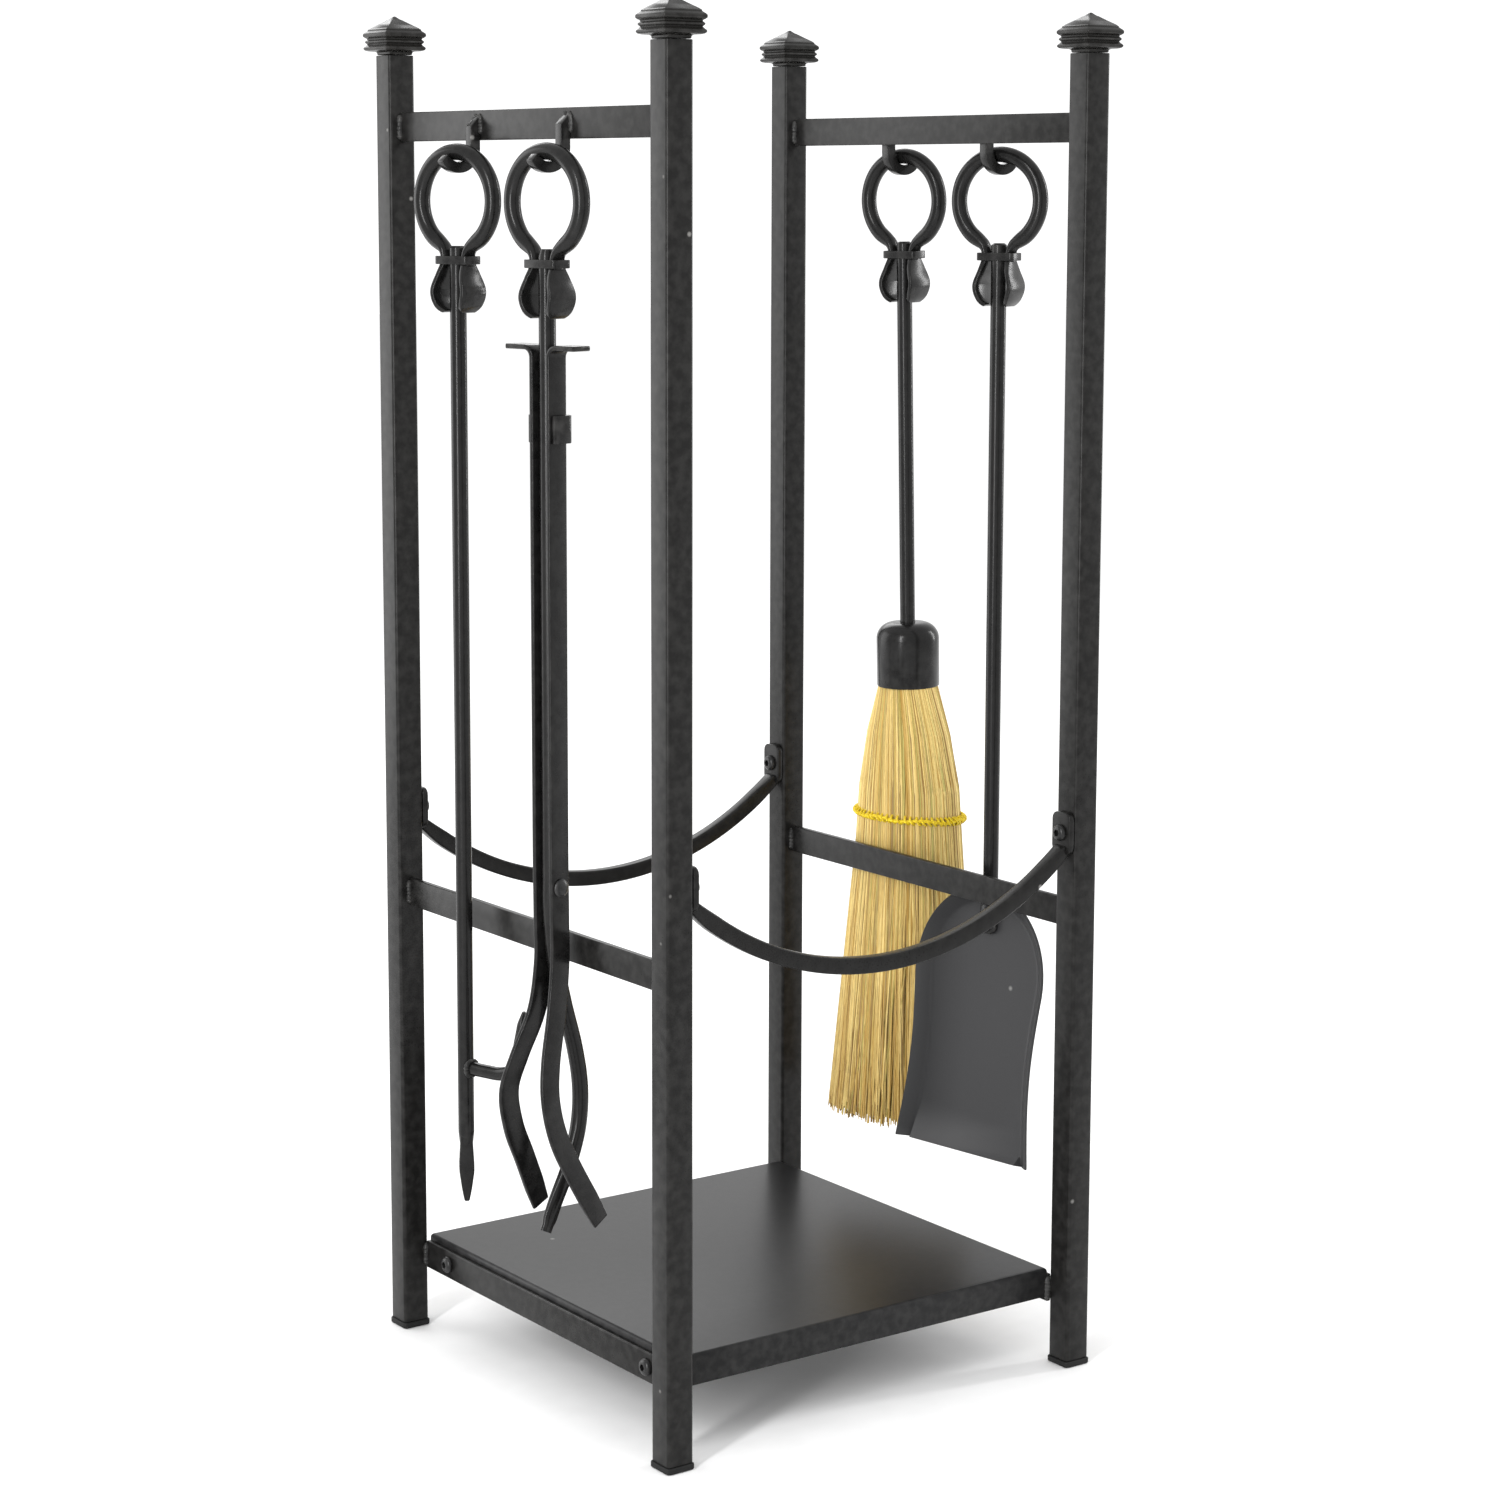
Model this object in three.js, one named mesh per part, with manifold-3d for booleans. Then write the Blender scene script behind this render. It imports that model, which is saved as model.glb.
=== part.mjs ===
// Fireplace log rack with four hearth tools: poker, tongs, brush and shovel.
// Millimetres. +X right, +Y back, +Z up; the origin is on the floor, under the middle of the rack.
import * as THREE from "three";
import { mergeVertices } from "three/addons/utils/BufferGeometryUtils.js";
import Module from "manifold-3d";

const wasm = await Module();
wasm.setup();

// ---- Fits ----
const GAP = 0.3; // between pieces that touch, are welded or are riveted
const SLIDE = 0.5; // between pieces that move past each other

// ---- Rack: posts, feet and finials ----
const POST_SIZE = 18;
const POST_WALL = 1.2;
const POST_SPACING_X = 305;
const POST_SPACING_Y = 305;
const POST_TOP = 820;
const FOOT_HEIGHT = 4;
const FOOT_RIM = 0.8;
const FOOT_PLUG = 14;
const FINIAL_HEIGHT = 24;
const FINIAL_HALF_WIDTH = 14.6;
const FINIAL_SPIGOT = 14;

// ---- Rack: rails and hooks ----
const RAIL_HEIGHT = 18;
const RAIL_THICKNESS = 4;
const TOP_RAIL_DROP = 35; // from the post top to the rail's top edge
const MID_RAIL_DROP = 520; // from the post top to the middle rail's top edge
const BASE_RAIL_THICKNESS = 3;
const BASE_RAIL_TOP = 57;
const BASE_RAIL_INSET = 1.4; // how far the base rail stands in from the posts' inner face
const HOOK_BAR = 6.5;
const HOOK_ROOM = 6; // spare width inside the hook's bend, beside the ring's rod
const HOOK_SPACING = 100;
const HOOK_BEND_DROP = 13; // from the top rail's lower edge to the inside of the bend

// ---- Rack: shelf, log retainers and bolts ----
const SHELF_SHEET = 1.5;
const SHELF_TOP = 61.5;
const SHELF_FLANGE = 19;
const SHELF_BEND = 2.6;
const SHELF_BOLT_SPACING = 230;
const SHELF_BOLT_DROP = 13; // from the shelf's top to the bolt's centre
const BOLT_SHANK = 6;
const BOLT_HEAD = 10.5;
const BOLT_HEAD_HEIGHT = 3.3;
const BOLT_SOCKET = 4;
const NUT_SIZE = 10;
const NUT_HEIGHT = 5;
const RETAINER_HEIGHT = 10;
const RETAINER_DEPTH = 8;
const RETAINER_SAG = 53; // from the arc's ends to its lowest point
const RETAINER_END = 334; // height of the arc's ends
const EAR_HEIGHT = 27;
const EAR_WIDTH = 17;
const EAR_THICKNESS = 4;

// ---- Handles, the same on all four tools ----
const ROD = 10;
const RING_RADIUS = 29; // to the middle of the rod
const RING_OPENING = 28; // degrees from straight down to where the legs leave the ring
const COLLAR_DROP = 61.7; // from the middle of the rod at the ring's top to the collar's top
const COLLAR_HEIGHT = 5;
const COLLAR_STRAP = 1.5;
const STUB = 6; // shaft above the collar
const LEG_THICKNESS = 6;
const LEG_SPREAD = 0.5; // how much wider than the rod its flattened legs are
const LEAF_LENGTH = 29;
const LEAF_THICKNESS = 3;
const LEAF_WIDTH = 21;
const LEAF_BOW = 5.5;

// ---- Where each tool hangs: turned about the vertical, in degrees ----
const POKER_TURN = 16;
const TONGS_TURN = 11;
const BRUSH_TURN = 14;
const SHOVEL_TURN = 22;

// ---- Poker ----
const POKER_LENGTH = 648;
const POKER_POINT = 40;
const POKER_FLAT = 13;
const PRONG_ROD = 8.5;
const PRONG_DROP = 562;
const PRONG_REACH = 49;
const PRONG_RISE = 43;

// ---- Tongs ----
const PIVOT_DROP = 429.5;
const TONGS_LENGTH = 640;
const ARM_WIDTH = 14.5;
const ARM_THICKNESS = 3;
const ARM_TOP_DROP = 110.5;
const TAB_REACH = 29;
const ARM_BELLY = 18.5; // how far the arms swing out before they cross
const ARM_SPLAY = 19; // half the distance between the arms at their belly
const ROD_BELLY = 23.4;
const KEEPER_DROP = 151;
const KEEPER_HEIGHT = 16.5;
const KEEPER_SHEET = 2.5;
const RIVET_SHANK = 6;
const RIVET_HEAD = 11;
const RIVET_HEAD_HEIGHT = 2.6;

// ---- Brush ----
const CAP_DROP = 309;
const CAP_HEIGHT = 43;
const CAP_DIAMETER = 42;
const CAP_WALL = 1.5;
const BRISTLE_BOTTOM = 654;
const BRISTLE_WAIST = 440; // depth of the stitching
const BRISTLE_WAIST_WIDTH = 84;
const BRISTLE_WAIST_DEPTH = 46;
const BRISTLE_END_WIDTH = 130;
const BRISTLE_END_DEPTH = 60;
const BRISTLE_DRIFT = 8; // how far the ends lean to the back
const THREAD = 2.4;

// ---- Shovel ----
const PAN_TWIST = -13; // degrees between the ring and the pan
const PAN_TILT = 8; // degrees that the pan leans in from the shaft
const PAN_TOP_DROP = 480;
const PAN_LENGTH = 168;
const PAN_MOUTH = 97;
const PAN_WAIST = 85;
const PAN_SHOULDER = 92;
const PAN_WALL = 6.5;
const PAN_FLARE = 9.5;
const PAN_SHEET = 1.8;
const TONGUE_LENGTH = 26;
const TONGUE_WIDTH = 15;
const TONGUE_THICKNESS = 4;
const PAN_RIVET_SPACING = 11;

// ---- Places that follow from the sizes above ----
const HALF_X = POST_SPACING_X / 2;
const HALF_Y = POST_SPACING_Y / 2;
const HALF_POST = POST_SIZE / 2;
const POST_BORE = POST_SIZE - 2 * POST_WALL;
const SPAN_Y = POST_SPACING_Y - POST_SIZE - 2 * GAP;
const MID_RAIL_TOP = POST_TOP - MID_RAIL_DROP;
const TOP_RAIL_BOTTOM = POST_TOP - TOP_RAIL_DROP - RAIL_HEIGHT;
const RAIL_FACE = HALF_X + RAIL_THICKNESS / 2;
const HOOK_GAP = ROD + HOOK_ROOM;
const HOOK_X = RAIL_FACE + GAP + HOOK_BAR + HOOK_GAP / 2;
const HOOK_BEND_Z = TOP_RAIL_BOTTOM - HOOK_BEND_DROP;
const BASE_RAIL_OUTER = HALF_X - HALF_POST - BASE_RAIL_INSET + BASE_RAIL_THICKNESS;
const SHELF_HALF_X = BASE_RAIL_OUTER - BASE_RAIL_THICKNESS - GAP;
const SHELF_HALF_Y = HALF_Y - HALF_POST;
const COLLAR_BOTTOM = COLLAR_DROP + COLLAR_HEIGHT;
const LEG_WIDTH = ROD + LEG_SPREAD;
const LEG_Y = ROD / 2 + GAP + LEG_THICKNESS / 2;
const LEAF_Y = ROD / 2 + GAP + LEAF_THICKNESS / 2;
const LEAF_BOTTOM = COLLAR_BOTTOM + LEAF_LENGTH;
const SHAFT_TOP = COLLAR_DROP - STUB;

const RADIANS = Math.PI / 180;

// ---- Finishes ----
const finish = (name, color, roughness, metalness) => () => {
  const material = new THREE.MeshStandardMaterial({ color, roughness, metalness });
  material.name = name;
  return material;
};
const powderCoat = finish("powder_coat", 0x2c2b2b, 0.42, 0.35);
const castIron = finish("cast_finial", 0x262523, 0.5, 0.4);
const footPlastic = finish("foot_plastic", 0x161616, 0.6, 0);
const boltSteel = finish("black_bolt", 0x201f1f, 0.35, 0.6);
const straw = finish("straw", 0xd9b461, 0.85, 0);
const yellowThread = finish("yellow_thread", 0xf0d21c, 0.7, 0);

// ---- Solids ----
function solid(geometry) {
  const bare = geometry.index ? geometry.toNonIndexed() : geometry.clone();
  for (const name of Object.keys(bare.attributes)) {
    if (name !== "position") bare.deleteAttribute(name);
  }
  const merged = mergeVertices(bare, 1e-4);
  const corners = merged.index.array;
  const triangles = [];
  for (let i = 0; i < corners.length; i += 3) {
    const [a, b, c] = corners.subarray(i, i + 3);
    if (a !== b && b !== c && c !== a) triangles.push(a, b, c);
  }
  return new wasm.Manifold(
    new wasm.Mesh({
      numProp: 3,
      vertProperties: merged.attributes.position.array,
      triVerts: new Uint32Array(triangles),
    }),
  );
}

function geometryOf(body) {
  const mesh = body.getMesh();
  const positions = new Float32Array(mesh.numVert * 3);
  for (let i = 0; i < mesh.numVert; i++) {
    const start = i * mesh.numProp;
    positions.set(mesh.vertProperties.subarray(start, start + 3), i * 3);
  }
  const geometry = new THREE.BufferGeometry();
  geometry.setAttribute("position", new THREE.BufferAttribute(positions, 3));
  geometry.setIndex(new THREE.BufferAttribute(mesh.triVerts, 1));
  return geometry;
}

const join = (first, ...others) =>
  geometryOf(others.reduce((sum, g) => sum.add(solid(g)), solid(first)));
const cut = (first, ...others) =>
  geometryOf(others.reduce((sum, g) => sum.subtract(solid(g)), solid(first)));
const common = (first, ...others) =>
  geometryOf(others.reduce((sum, g) => sum.intersect(solid(g)), solid(first)));

function place(parent, name, geometry, material) {
  const closed = geometryOf(solid(geometry));
  closed.computeVertexNormals();
  const mesh = new THREE.Mesh(closed, material());
  mesh.name = name;
  parent.add(mesh);
  return mesh;
}

// ---- Basic shapes ----
function box(x, y, z) {
  const geometry = new THREE.BoxGeometry(x[1] - x[0], y[1] - y[0], z[1] - z[0]);
  return geometry.translate((x[0] + x[1]) / 2, (y[0] + y[1]) / 2, (z[0] + z[1]) / 2);
}

function rod(diameter, bottom, top, sides = 12) {
  const geometry = new THREE.CylinderGeometry(diameter / 2, diameter / 2, top - bottom, sides);
  return geometry.rotateX(Math.PI / 2).translate(0, 0, (bottom + top) / 2);
}

function outline(points) {
  return new THREE.Shape(points.map(([x, y]) => new THREE.Vector2(x, y)));
}

function roundedRect(width, height, radius) {
  const [w, h] = [width / 2, height / 2];
  const shape = new THREE.Shape();
  shape.moveTo(-w + radius, -h);
  shape.lineTo(w - radius, -h);
  shape.absarc(w - radius, -h + radius, radius, -Math.PI / 2, 0);
  shape.absarc(w - radius, h - radius, radius, 0, Math.PI / 2);
  shape.absarc(-w + radius, h - radius, radius, Math.PI / 2, Math.PI);
  shape.absarc(-w + radius, -h + radius, radius, Math.PI, 1.5 * Math.PI);
  return shape;
}

function extrude(shape, depth, curveSegments = 1) {
  return new THREE.ExtrudeGeometry(shape, { depth, bevelEnabled: false, curveSegments });
}

// An outline drawn in X and Z, given a width along Y.
function extrudeAlongY(shape, y0, y1, curveSegments) {
  return extrude(shape, y1 - y0, curveSegments)
    .rotateX(Math.PI / 2)
    .translate(0, y1, 0);
}

// An outline drawn in Y and Z, given a width along X.
function extrudeAlongX(shape, x0, x1, curveSegments) {
  return extrude(shape, x1 - x0, curveSegments)
    .rotateX(Math.PI / 2)
    .rotateZ(Math.PI / 2)
    .translate(x0, 0, 0);
}

function sweep(section, path, steps, curveSegments = 1) {
  return new THREE.ExtrudeGeometry(section, { steps, curveSegments, extrudePath: path });
}

function circle(diameter) {
  return new THREE.Shape().absarc(0, 0, diameter / 2, 0, 2 * Math.PI);
}

function bentRod(diameter, path, steps) {
  return sweep(circle(diameter), path, steps, 4);
}

const spline = (points) =>
  new THREE.CatmullRomCurve3(points.map(([x, y, z]) => new THREE.Vector3(x, y, z)));

// ---- Rack ----
function makePost() {
  const shape = roundedRect(POST_SIZE, POST_SIZE, 2);
  shape.holes.push(roundedRect(POST_BORE, POST_BORE, 1));
  return extrude(shape, POST_TOP - FOOT_HEIGHT).translate(0, 0, FOOT_HEIGHT);
}

// The hole for a retainer's bolt, in the wall on the side where inward is +1 or -1.
function boltHole(inward) {
  const hole = rod(BOLT_SHANK + 2 * GAP, 0, POST_SIZE).rotateY(Math.PI / 2);
  return hole.translate(inward > 0 ? 0 : -POST_SIZE, 0, earBoltHeight());
}

function earBoltHeight() {
  return RETAINER_END + EAR_HEIGHT * 0.38;
}

function makeFoot() {
  const half = HALF_POST + FOOT_RIM;
  const size = 2 * half;
  const cap = new THREE.ExtrudeGeometry(roundedRect(size - 1.6, size - 1.6, 1.6), {
    depth: FOOT_HEIGHT - GAP - 1.6,
    bevelThickness: 0.8,
    bevelSize: 0.8,
    bevelSegments: 1,
    curveSegments: 1,
  }).translate(0, 0, 0.8);
  const plugHalf = POST_BORE / 2 - GAP;
  const plug = box([-plugHalf, plugHalf], [-plugHalf, plugHalf], [1, FOOT_HEIGHT + FOOT_PLUG]);
  return join(cap, plug);
}

// A square stepped casting: a four-sided lathe, with a spigot that plugs the post.
function makeFinial() {
  const wide = FINIAL_HALF_WIDTH;
  const scale = FINIAL_HEIGHT / 24;
  const profile = [
    [0, GAP],
    [0.55 * wide, GAP],
    [0.55 * wide, 2.3],
    [0.93 * wide, 3.4],
    [0.97 * wide, 4.6],
    [0.9 * wide, 6.4],
    [0.84 * wide, 8.2],
    [0.9 * wide, 10],
    [wide, 11.6],
    [0.99 * wide, 13.4],
    [0.87 * wide, 14.8],
    [0.84 * wide, 16.2],
    [0.2 * wide, 22.6],
    [0, 24],
  ].map(([half, z]) => new THREE.Vector2(half * Math.SQRT2, z * scale));
  const casting = new THREE.LatheGeometry(profile, 4, Math.PI / 4).rotateX(Math.PI / 2);
  const half = POST_BORE / 2 - GAP;
  return join(casting, box([-half, half], [-half, half], [-FINIAL_SPIGOT, 1]));
}

// A flat bar that runs from post to post along Y.
function makeRail(thickness, x, top) {
  const section = roundedRect(thickness, RAIL_HEIGHT, 0.6);
  return extrudeAlongY(section, -SPAN_Y / 2, SPAN_Y / 2).translate(x, 0, top - RAIL_HEIGHT / 2);
}

// Square bar: welded leg with a chisel top, a half-round bend and a short chisel tip.
function makeHook() {
  const inner = HOOK_GAP / 2;
  const outer = inner + HOOK_BAR;
  const top = TOP_RAIL_BOTTOM + RAIL_HEIGHT - 3 - HOOK_BEND_Z - inner;
  const shape = new THREE.Shape();
  shape.moveTo(-outer, top);
  shape.lineTo(-outer, 0);
  shape.absarc(0, 0, outer, Math.PI, 1.94 * Math.PI);
  shape.lineTo(outer - 2, 0);
  shape.lineTo(inner + 2.5, 0);
  shape.absarc(0, 0, inner, -24 * RADIANS, -Math.PI, true);
  shape.lineTo(-inner, top - HOOK_BAR);
  return extrudeAlongY(shape, -HOOK_BAR / 2, HOOK_BAR / 2, 6).translate(
    HOOK_X,
    0,
    HOOK_BEND_Z + inner,
  );
}

function trayProfile(half, top, bottom, radius) {
  const shape = new THREE.Shape();
  shape.moveTo(-half, bottom);
  shape.lineTo(half, bottom);
  shape.absarc(half - radius, top - radius, radius, 0, Math.PI / 2);
  shape.absarc(-half + radius, top - radius, radius, Math.PI / 2, Math.PI);
  return shape;
}

function trayBlock(halfX, halfY, top, bottom, radius) {
  const alongY = extrudeAlongY(trayProfile(halfX, top, bottom, radius), -halfY, halfY, 2);
  const alongX = extrudeAlongX(trayProfile(halfY, top, bottom, radius), -halfX, halfX, 2);
  return common(alongY, alongX);
}

function makeShelf() {
  const bottom = SHELF_TOP - SHELF_FLANGE;
  const outside = trayBlock(SHELF_HALF_X, SHELF_HALF_Y, SHELF_TOP, bottom, SHELF_BEND);
  const inside = trayBlock(
    SHELF_HALF_X - SHELF_SHEET,
    SHELF_HALF_Y - SHELF_SHEET,
    SHELF_TOP - SHELF_SHEET,
    bottom - 1,
    SHELF_BEND - SHELF_SHEET,
  );
  const holes = [-1, 1].map((side) =>
    rod(BOLT_SHANK + 2 * GAP, -HALF_X, HALF_X)
      .rotateY(Math.PI / 2)
      .translate(0, (side * SHELF_BOLT_SPACING) / 2, SHELF_TOP - SHELF_BOLT_DROP),
  );
  return cut(outside, inside, ...holes);
}

// A button-head bolt along +X, its head's underside at x = 0 and its shank towards -X.
function makeBolt(shankLength) {
  const r = BOLT_HEAD / 2;
  const profile = [
    [0, -shankLength],
    [BOLT_SHANK / 2, -shankLength],
    [BOLT_SHANK / 2, 0],
    [r, 0],
    [r, 0.8],
    [0.86 * r, 0.66 * BOLT_HEAD_HEIGHT],
    [0.6 * r, BOLT_HEAD_HEIGHT],
    [0, BOLT_HEAD_HEIGHT],
  ].map(([radius, height]) => new THREE.Vector2(radius, height));
  const bolt = new THREE.LatheGeometry(profile, 12).rotateZ(-Math.PI / 2);
  const socket = rod((BOLT_SOCKET * 2) / Math.sqrt(3), 1.2, BOLT_HEAD_HEIGHT + 1, 6);
  return cut(bolt, socket.rotateY(Math.PI / 2));
}

function makeShelfBolt() {
  const grip = BASE_RAIL_THICKNESS + SHELF_SHEET + 3 * GAP;
  const nut = rod((NUT_SIZE * 2) / Math.sqrt(3), -grip - NUT_HEIGHT, -grip, 6);
  return join(makeBolt(grip + NUT_HEIGHT + 2), nut.rotateY(Math.PI / 2));
}

// An arc of bar whose ends are flattened into ears against the posts.
function makeRetainer() {
  const face = HALF_X - HALF_POST - GAP;
  const end = face - EAR_THICKNESS / 2;
  const radius = (end * end + RETAINER_SAG * RETAINER_SAG) / (2 * RETAINER_SAG);
  const centreZ = RETAINER_END - RETAINER_SAG + radius;
  const spread = Math.asin(end / radius);
  const half = RETAINER_HEIGHT / 2;
  const shape = new THREE.Shape();
  shape.absarc(0, centreZ, radius + half, -Math.PI / 2 - spread, -Math.PI / 2 + spread);
  shape.absarc(0, centreZ, radius - half, -Math.PI / 2 + spread, -Math.PI / 2 - spread, true);
  const arc = extrudeAlongY(shape, -RETAINER_DEPTH / 2, RETAINER_DEPTH / 2, 12);
  const within = box([-face, face], [-EAR_WIDTH, EAR_WIDTH], [0, POST_TOP]);
  const ears = [-1, 1].map((side) => makeEar(side, face));
  const holes = [-1, 1].map((side) =>
    rod(BOLT_SHANK + 2 * GAP, -EAR_THICKNESS, EAR_THICKNESS)
      .rotateY(Math.PI / 2)
      .translate(side * (face - EAR_THICKNESS / 2), 0, earBoltHeight()),
  );
  return cut(join(common(arc, within), ...ears), ...holes);
}

function makeEar(side, face) {
  const [w, low, high] = [EAR_WIDTH / 2, RETAINER_END - 4, RETAINER_END + EAR_HEIGHT - 4];
  const shape = outline([
    [-w + 3, low - 5],
    [w - 3, low - 5],
    [w, low + 2],
    [w, high - 4],
    [w - 4, high],
    [-w + 4, high],
    [-w, high - 4],
    [-w, low + 2],
  ]);
  const from = side > 0 ? face - EAR_THICKNESS : -face;
  return extrudeAlongX(shape, from, from + EAR_THICKNESS);
}

function addCorner(rack, x, y, name) {
  const corner = new THREE.Group();
  corner.position.set(x * HALF_X, y * HALF_Y, 0);
  place(corner, "post_" + name, cut(makePost(), boltHole(-x)), powderCoat);
  place(corner, "foot_" + name, makeFoot(), footPlastic);
  place(corner, "finial_" + name, makeFinial(), castIron).position.z = POST_TOP;
  rack.add(corner);
}

function addEndFrame(rack, side, name) {
  const x = side * HALF_X;
  const baseX = side * (BASE_RAIL_OUTER - BASE_RAIL_THICKNESS / 2);
  const base = makeRail(BASE_RAIL_THICKNESS, baseX, BASE_RAIL_TOP);
  const boltZ = SHELF_TOP - SHELF_BOLT_DROP;
  const boltPlaces = { front: -SHELF_BOLT_SPACING / 2, back: SHELF_BOLT_SPACING / 2 };
  const holes = Object.values(boltPlaces).map((y) =>
    rod(BOLT_SHANK + 2 * GAP, -10, 10)
      .rotateY(Math.PI / 2)
      .translate(baseX, y, boltZ),
  );
  place(rack, name + "_top_rail", makeRail(RAIL_THICKNESS, x, POST_TOP - TOP_RAIL_DROP), powderCoat);
  place(rack, name + "_mid_rail", makeRail(RAIL_THICKNESS, x, MID_RAIL_TOP), powderCoat);
  place(rack, name + "_base_rail", cut(base, ...holes), powderCoat);
  for (const [end, y] of Object.entries(boltPlaces)) {
    const bolt = place(rack, `shelf_bolt_${name}_${end}`, makeShelfBolt(), boltSteel);
    bolt.position.set(side * (BASE_RAIL_OUTER + GAP), y, boltZ);
    bolt.rotation.z = side > 0 ? 0 : Math.PI;
    const hook = place(rack, `hook_${name}_${end}`, makeHook(), powderCoat);
    hook.position.y = (Math.sign(y) * HOOK_SPACING) / 2;
    hook.rotation.z = side > 0 ? 0 : Math.PI;
  }
}

function addRetainer(rack, side, name) {
  const bar = place(rack, name + "_log_retainer", makeRetainer(), powderCoat);
  bar.position.y = side * HALF_Y;
  const head = HALF_X - HALF_POST - EAR_THICKNESS - 2 * GAP;
  for (const [end, x] of [["left", -1], ["right", 1]]) {
    const shank = EAR_THICKNESS + POST_WALL + 8;
    const bolt = place(rack, `retainer_bolt_${name}_${end}`, makeBolt(shank), boltSteel);
    bolt.position.set(x * head, side * HALF_Y, earBoltHeight());
    bolt.rotation.z = x > 0 ? Math.PI : 0;
  }
}

// ---- Handles ----
// Half of the rod's centreline: up from the collar, through the reverse bend and round to the top.
function loopPoints(side) {
  const opening = RING_OPENING * RADIANS;
  const leaveY = RING_RADIUS * Math.sin(opening);
  const leaveZ = -RING_RADIUS - RING_RADIUS * Math.cos(opening);
  const bend = (leaveY - LEG_Y) / (1 - Math.sin(opening));
  const bendZ = leaveZ - bend * Math.cos(opening);
  const points = [[0, side * LEG_Y, Math.min(bendZ, -SHAFT_TOP) - 1]];
  for (const t of [0, 0.25, 0.5, 0.75]) {
    const a = t * (Math.PI / 2 - opening);
    points.push([0, side * (LEG_Y + bend * (1 - Math.cos(a))), bendZ + bend * Math.sin(a)]);
  }
  for (let i = 0; i < 8; i++) {
    const a = opening + ((Math.PI - opening) * i) / 8;
    const z = -RING_RADIUS - RING_RADIUS * Math.cos(a);
    points.push([0, side * RING_RADIUS * Math.sin(a), z]);
  }
  return points;
}

// One flattened end: gripped by the collar, bowed out below it and back to the shaft.
function makeLeaf(side) {
  const w = LEAF_WIDTH / 2;
  const legTop = -SHAFT_TOP;
  const centre = spline([
    [0, LEG_Y, -COLLAR_BOTTOM + 1],
    [0, LEAF_Y + 0.55 * LEAF_BOW, -COLLAR_BOTTOM - 0.28 * LEAF_LENGTH],
    [0, LEAF_Y + LEAF_BOW, -COLLAR_BOTTOM - 0.6 * LEAF_LENGTH],
    [0, LEAF_Y + 0.6 * LEAF_BOW, -COLLAR_BOTTOM - 0.85 * LEAF_LENGTH],
    [0, LEAF_Y + 0.4, -LEAF_BOTTOM],
  ]);
  const strip = sweep(roundedRect(3 * w, LEAF_THICKNESS, 0.4), centre, 9);
  const edge = [
    [0.5 * w, -LEAF_BOTTOM - 1],
    [0.94 * w, -LEAF_BOTTOM + 5],
    [w, -COLLAR_BOTTOM - 0.6 * LEAF_LENGTH],
    [0.8 * w, -COLLAR_BOTTOM - 0.15 * LEAF_LENGTH],
    [LEG_WIDTH / 2, -COLLAR_BOTTOM - GAP],
    [LEG_WIDTH / 2, -COLLAR_BOTTOM + 2],
  ];
  const face = outline([...edge, ...edge.map(([x, z]) => [-x, z]).reverse()]);
  const leaf = common(strip, extrudeAlongY(face, -50, 50));
  const half = LEG_WIDTH / 2;
  const inner = LEG_Y - LEG_THICKNESS / 2;
  const leg = box([-half, half], [inner, inner + LEG_THICKNESS], [-COLLAR_BOTTOM - 1, legTop]);
  const whole = join(leaf, leg);
  return side > 0 ? whole : whole.rotateZ(Math.PI);
}

function makeLoop() {
  const left = loopPoints(1);
  const right = loopPoints(-1).reverse();
  const path = spline([...left, [0, 0, 0], ...right]);
  const wide = 2 * RING_RADIUS;
  const aboveCollar = box([-wide, wide], [-wide, wide], [-COLLAR_DROP + 1, ROD]);
  const ring = common(bentRod(ROD, path, 36), aboveCollar);
  const shaftClearance = rod(ROD + 2 * GAP, -LEAF_BOTTOM - 5, -SHAFT_TOP + GAP);
  return cut(join(ring, makeLeaf(1), makeLeaf(-1)), shaftClearance);
}

function makeCollar() {
  const x = LEG_WIDTH / 2 + GAP;
  const y = LEG_Y + LEG_THICKNESS / 2 + GAP;
  const shape = roundedRect(2 * (x + COLLAR_STRAP), 2 * (y + COLLAR_STRAP), 2);
  shape.holes.push(roundedRect(2 * x, 2 * y, 0.5));
  return extrude(shape, COLLAR_HEIGHT).translate(0, 0, -COLLAR_BOTTOM);
}

// Height of the rod's middle at the ring's top. A ring that is turned about the vertical lies
// askew in the hook's bend, and it curves down on both sides of the bar.
function hangHeight(turn) {
  const aside = (HOOK_BAR / 2) * Math.tan(turn * RADIANS);
  const room = HOOK_GAP / 2 - GAP - ROD / 2 / Math.cos(turn * RADIANS);
  const dip = (HOOK_BAR / 2) ** 2 / (RING_RADIUS - ROD / 2);
  return HOOK_BEND_Z + HOOK_GAP / 2 - Math.sqrt(room * room - aside * aside) + dip;
}

// A tool hangs by its ring: its own origin is the middle of the rod at the ring's top.
function addTool(rack, name, side, y, turn, lean = 0) {
  const hung = new THREE.Group();
  hung.position.set(side * HOOK_X, (y * HOOK_SPACING) / 2, hangHeight(turn));
  hung.rotation.y = -side * lean;
  const tool = new THREE.Group();
  tool.rotation.z = turn * RADIANS;
  hung.add(tool);
  rack.add(hung);
  place(tool, name + "_handle_ring", makeLoop(), powderCoat);
  place(tool, name + "_collar", makeCollar(), powderCoat);
  return tool;
}

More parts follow.
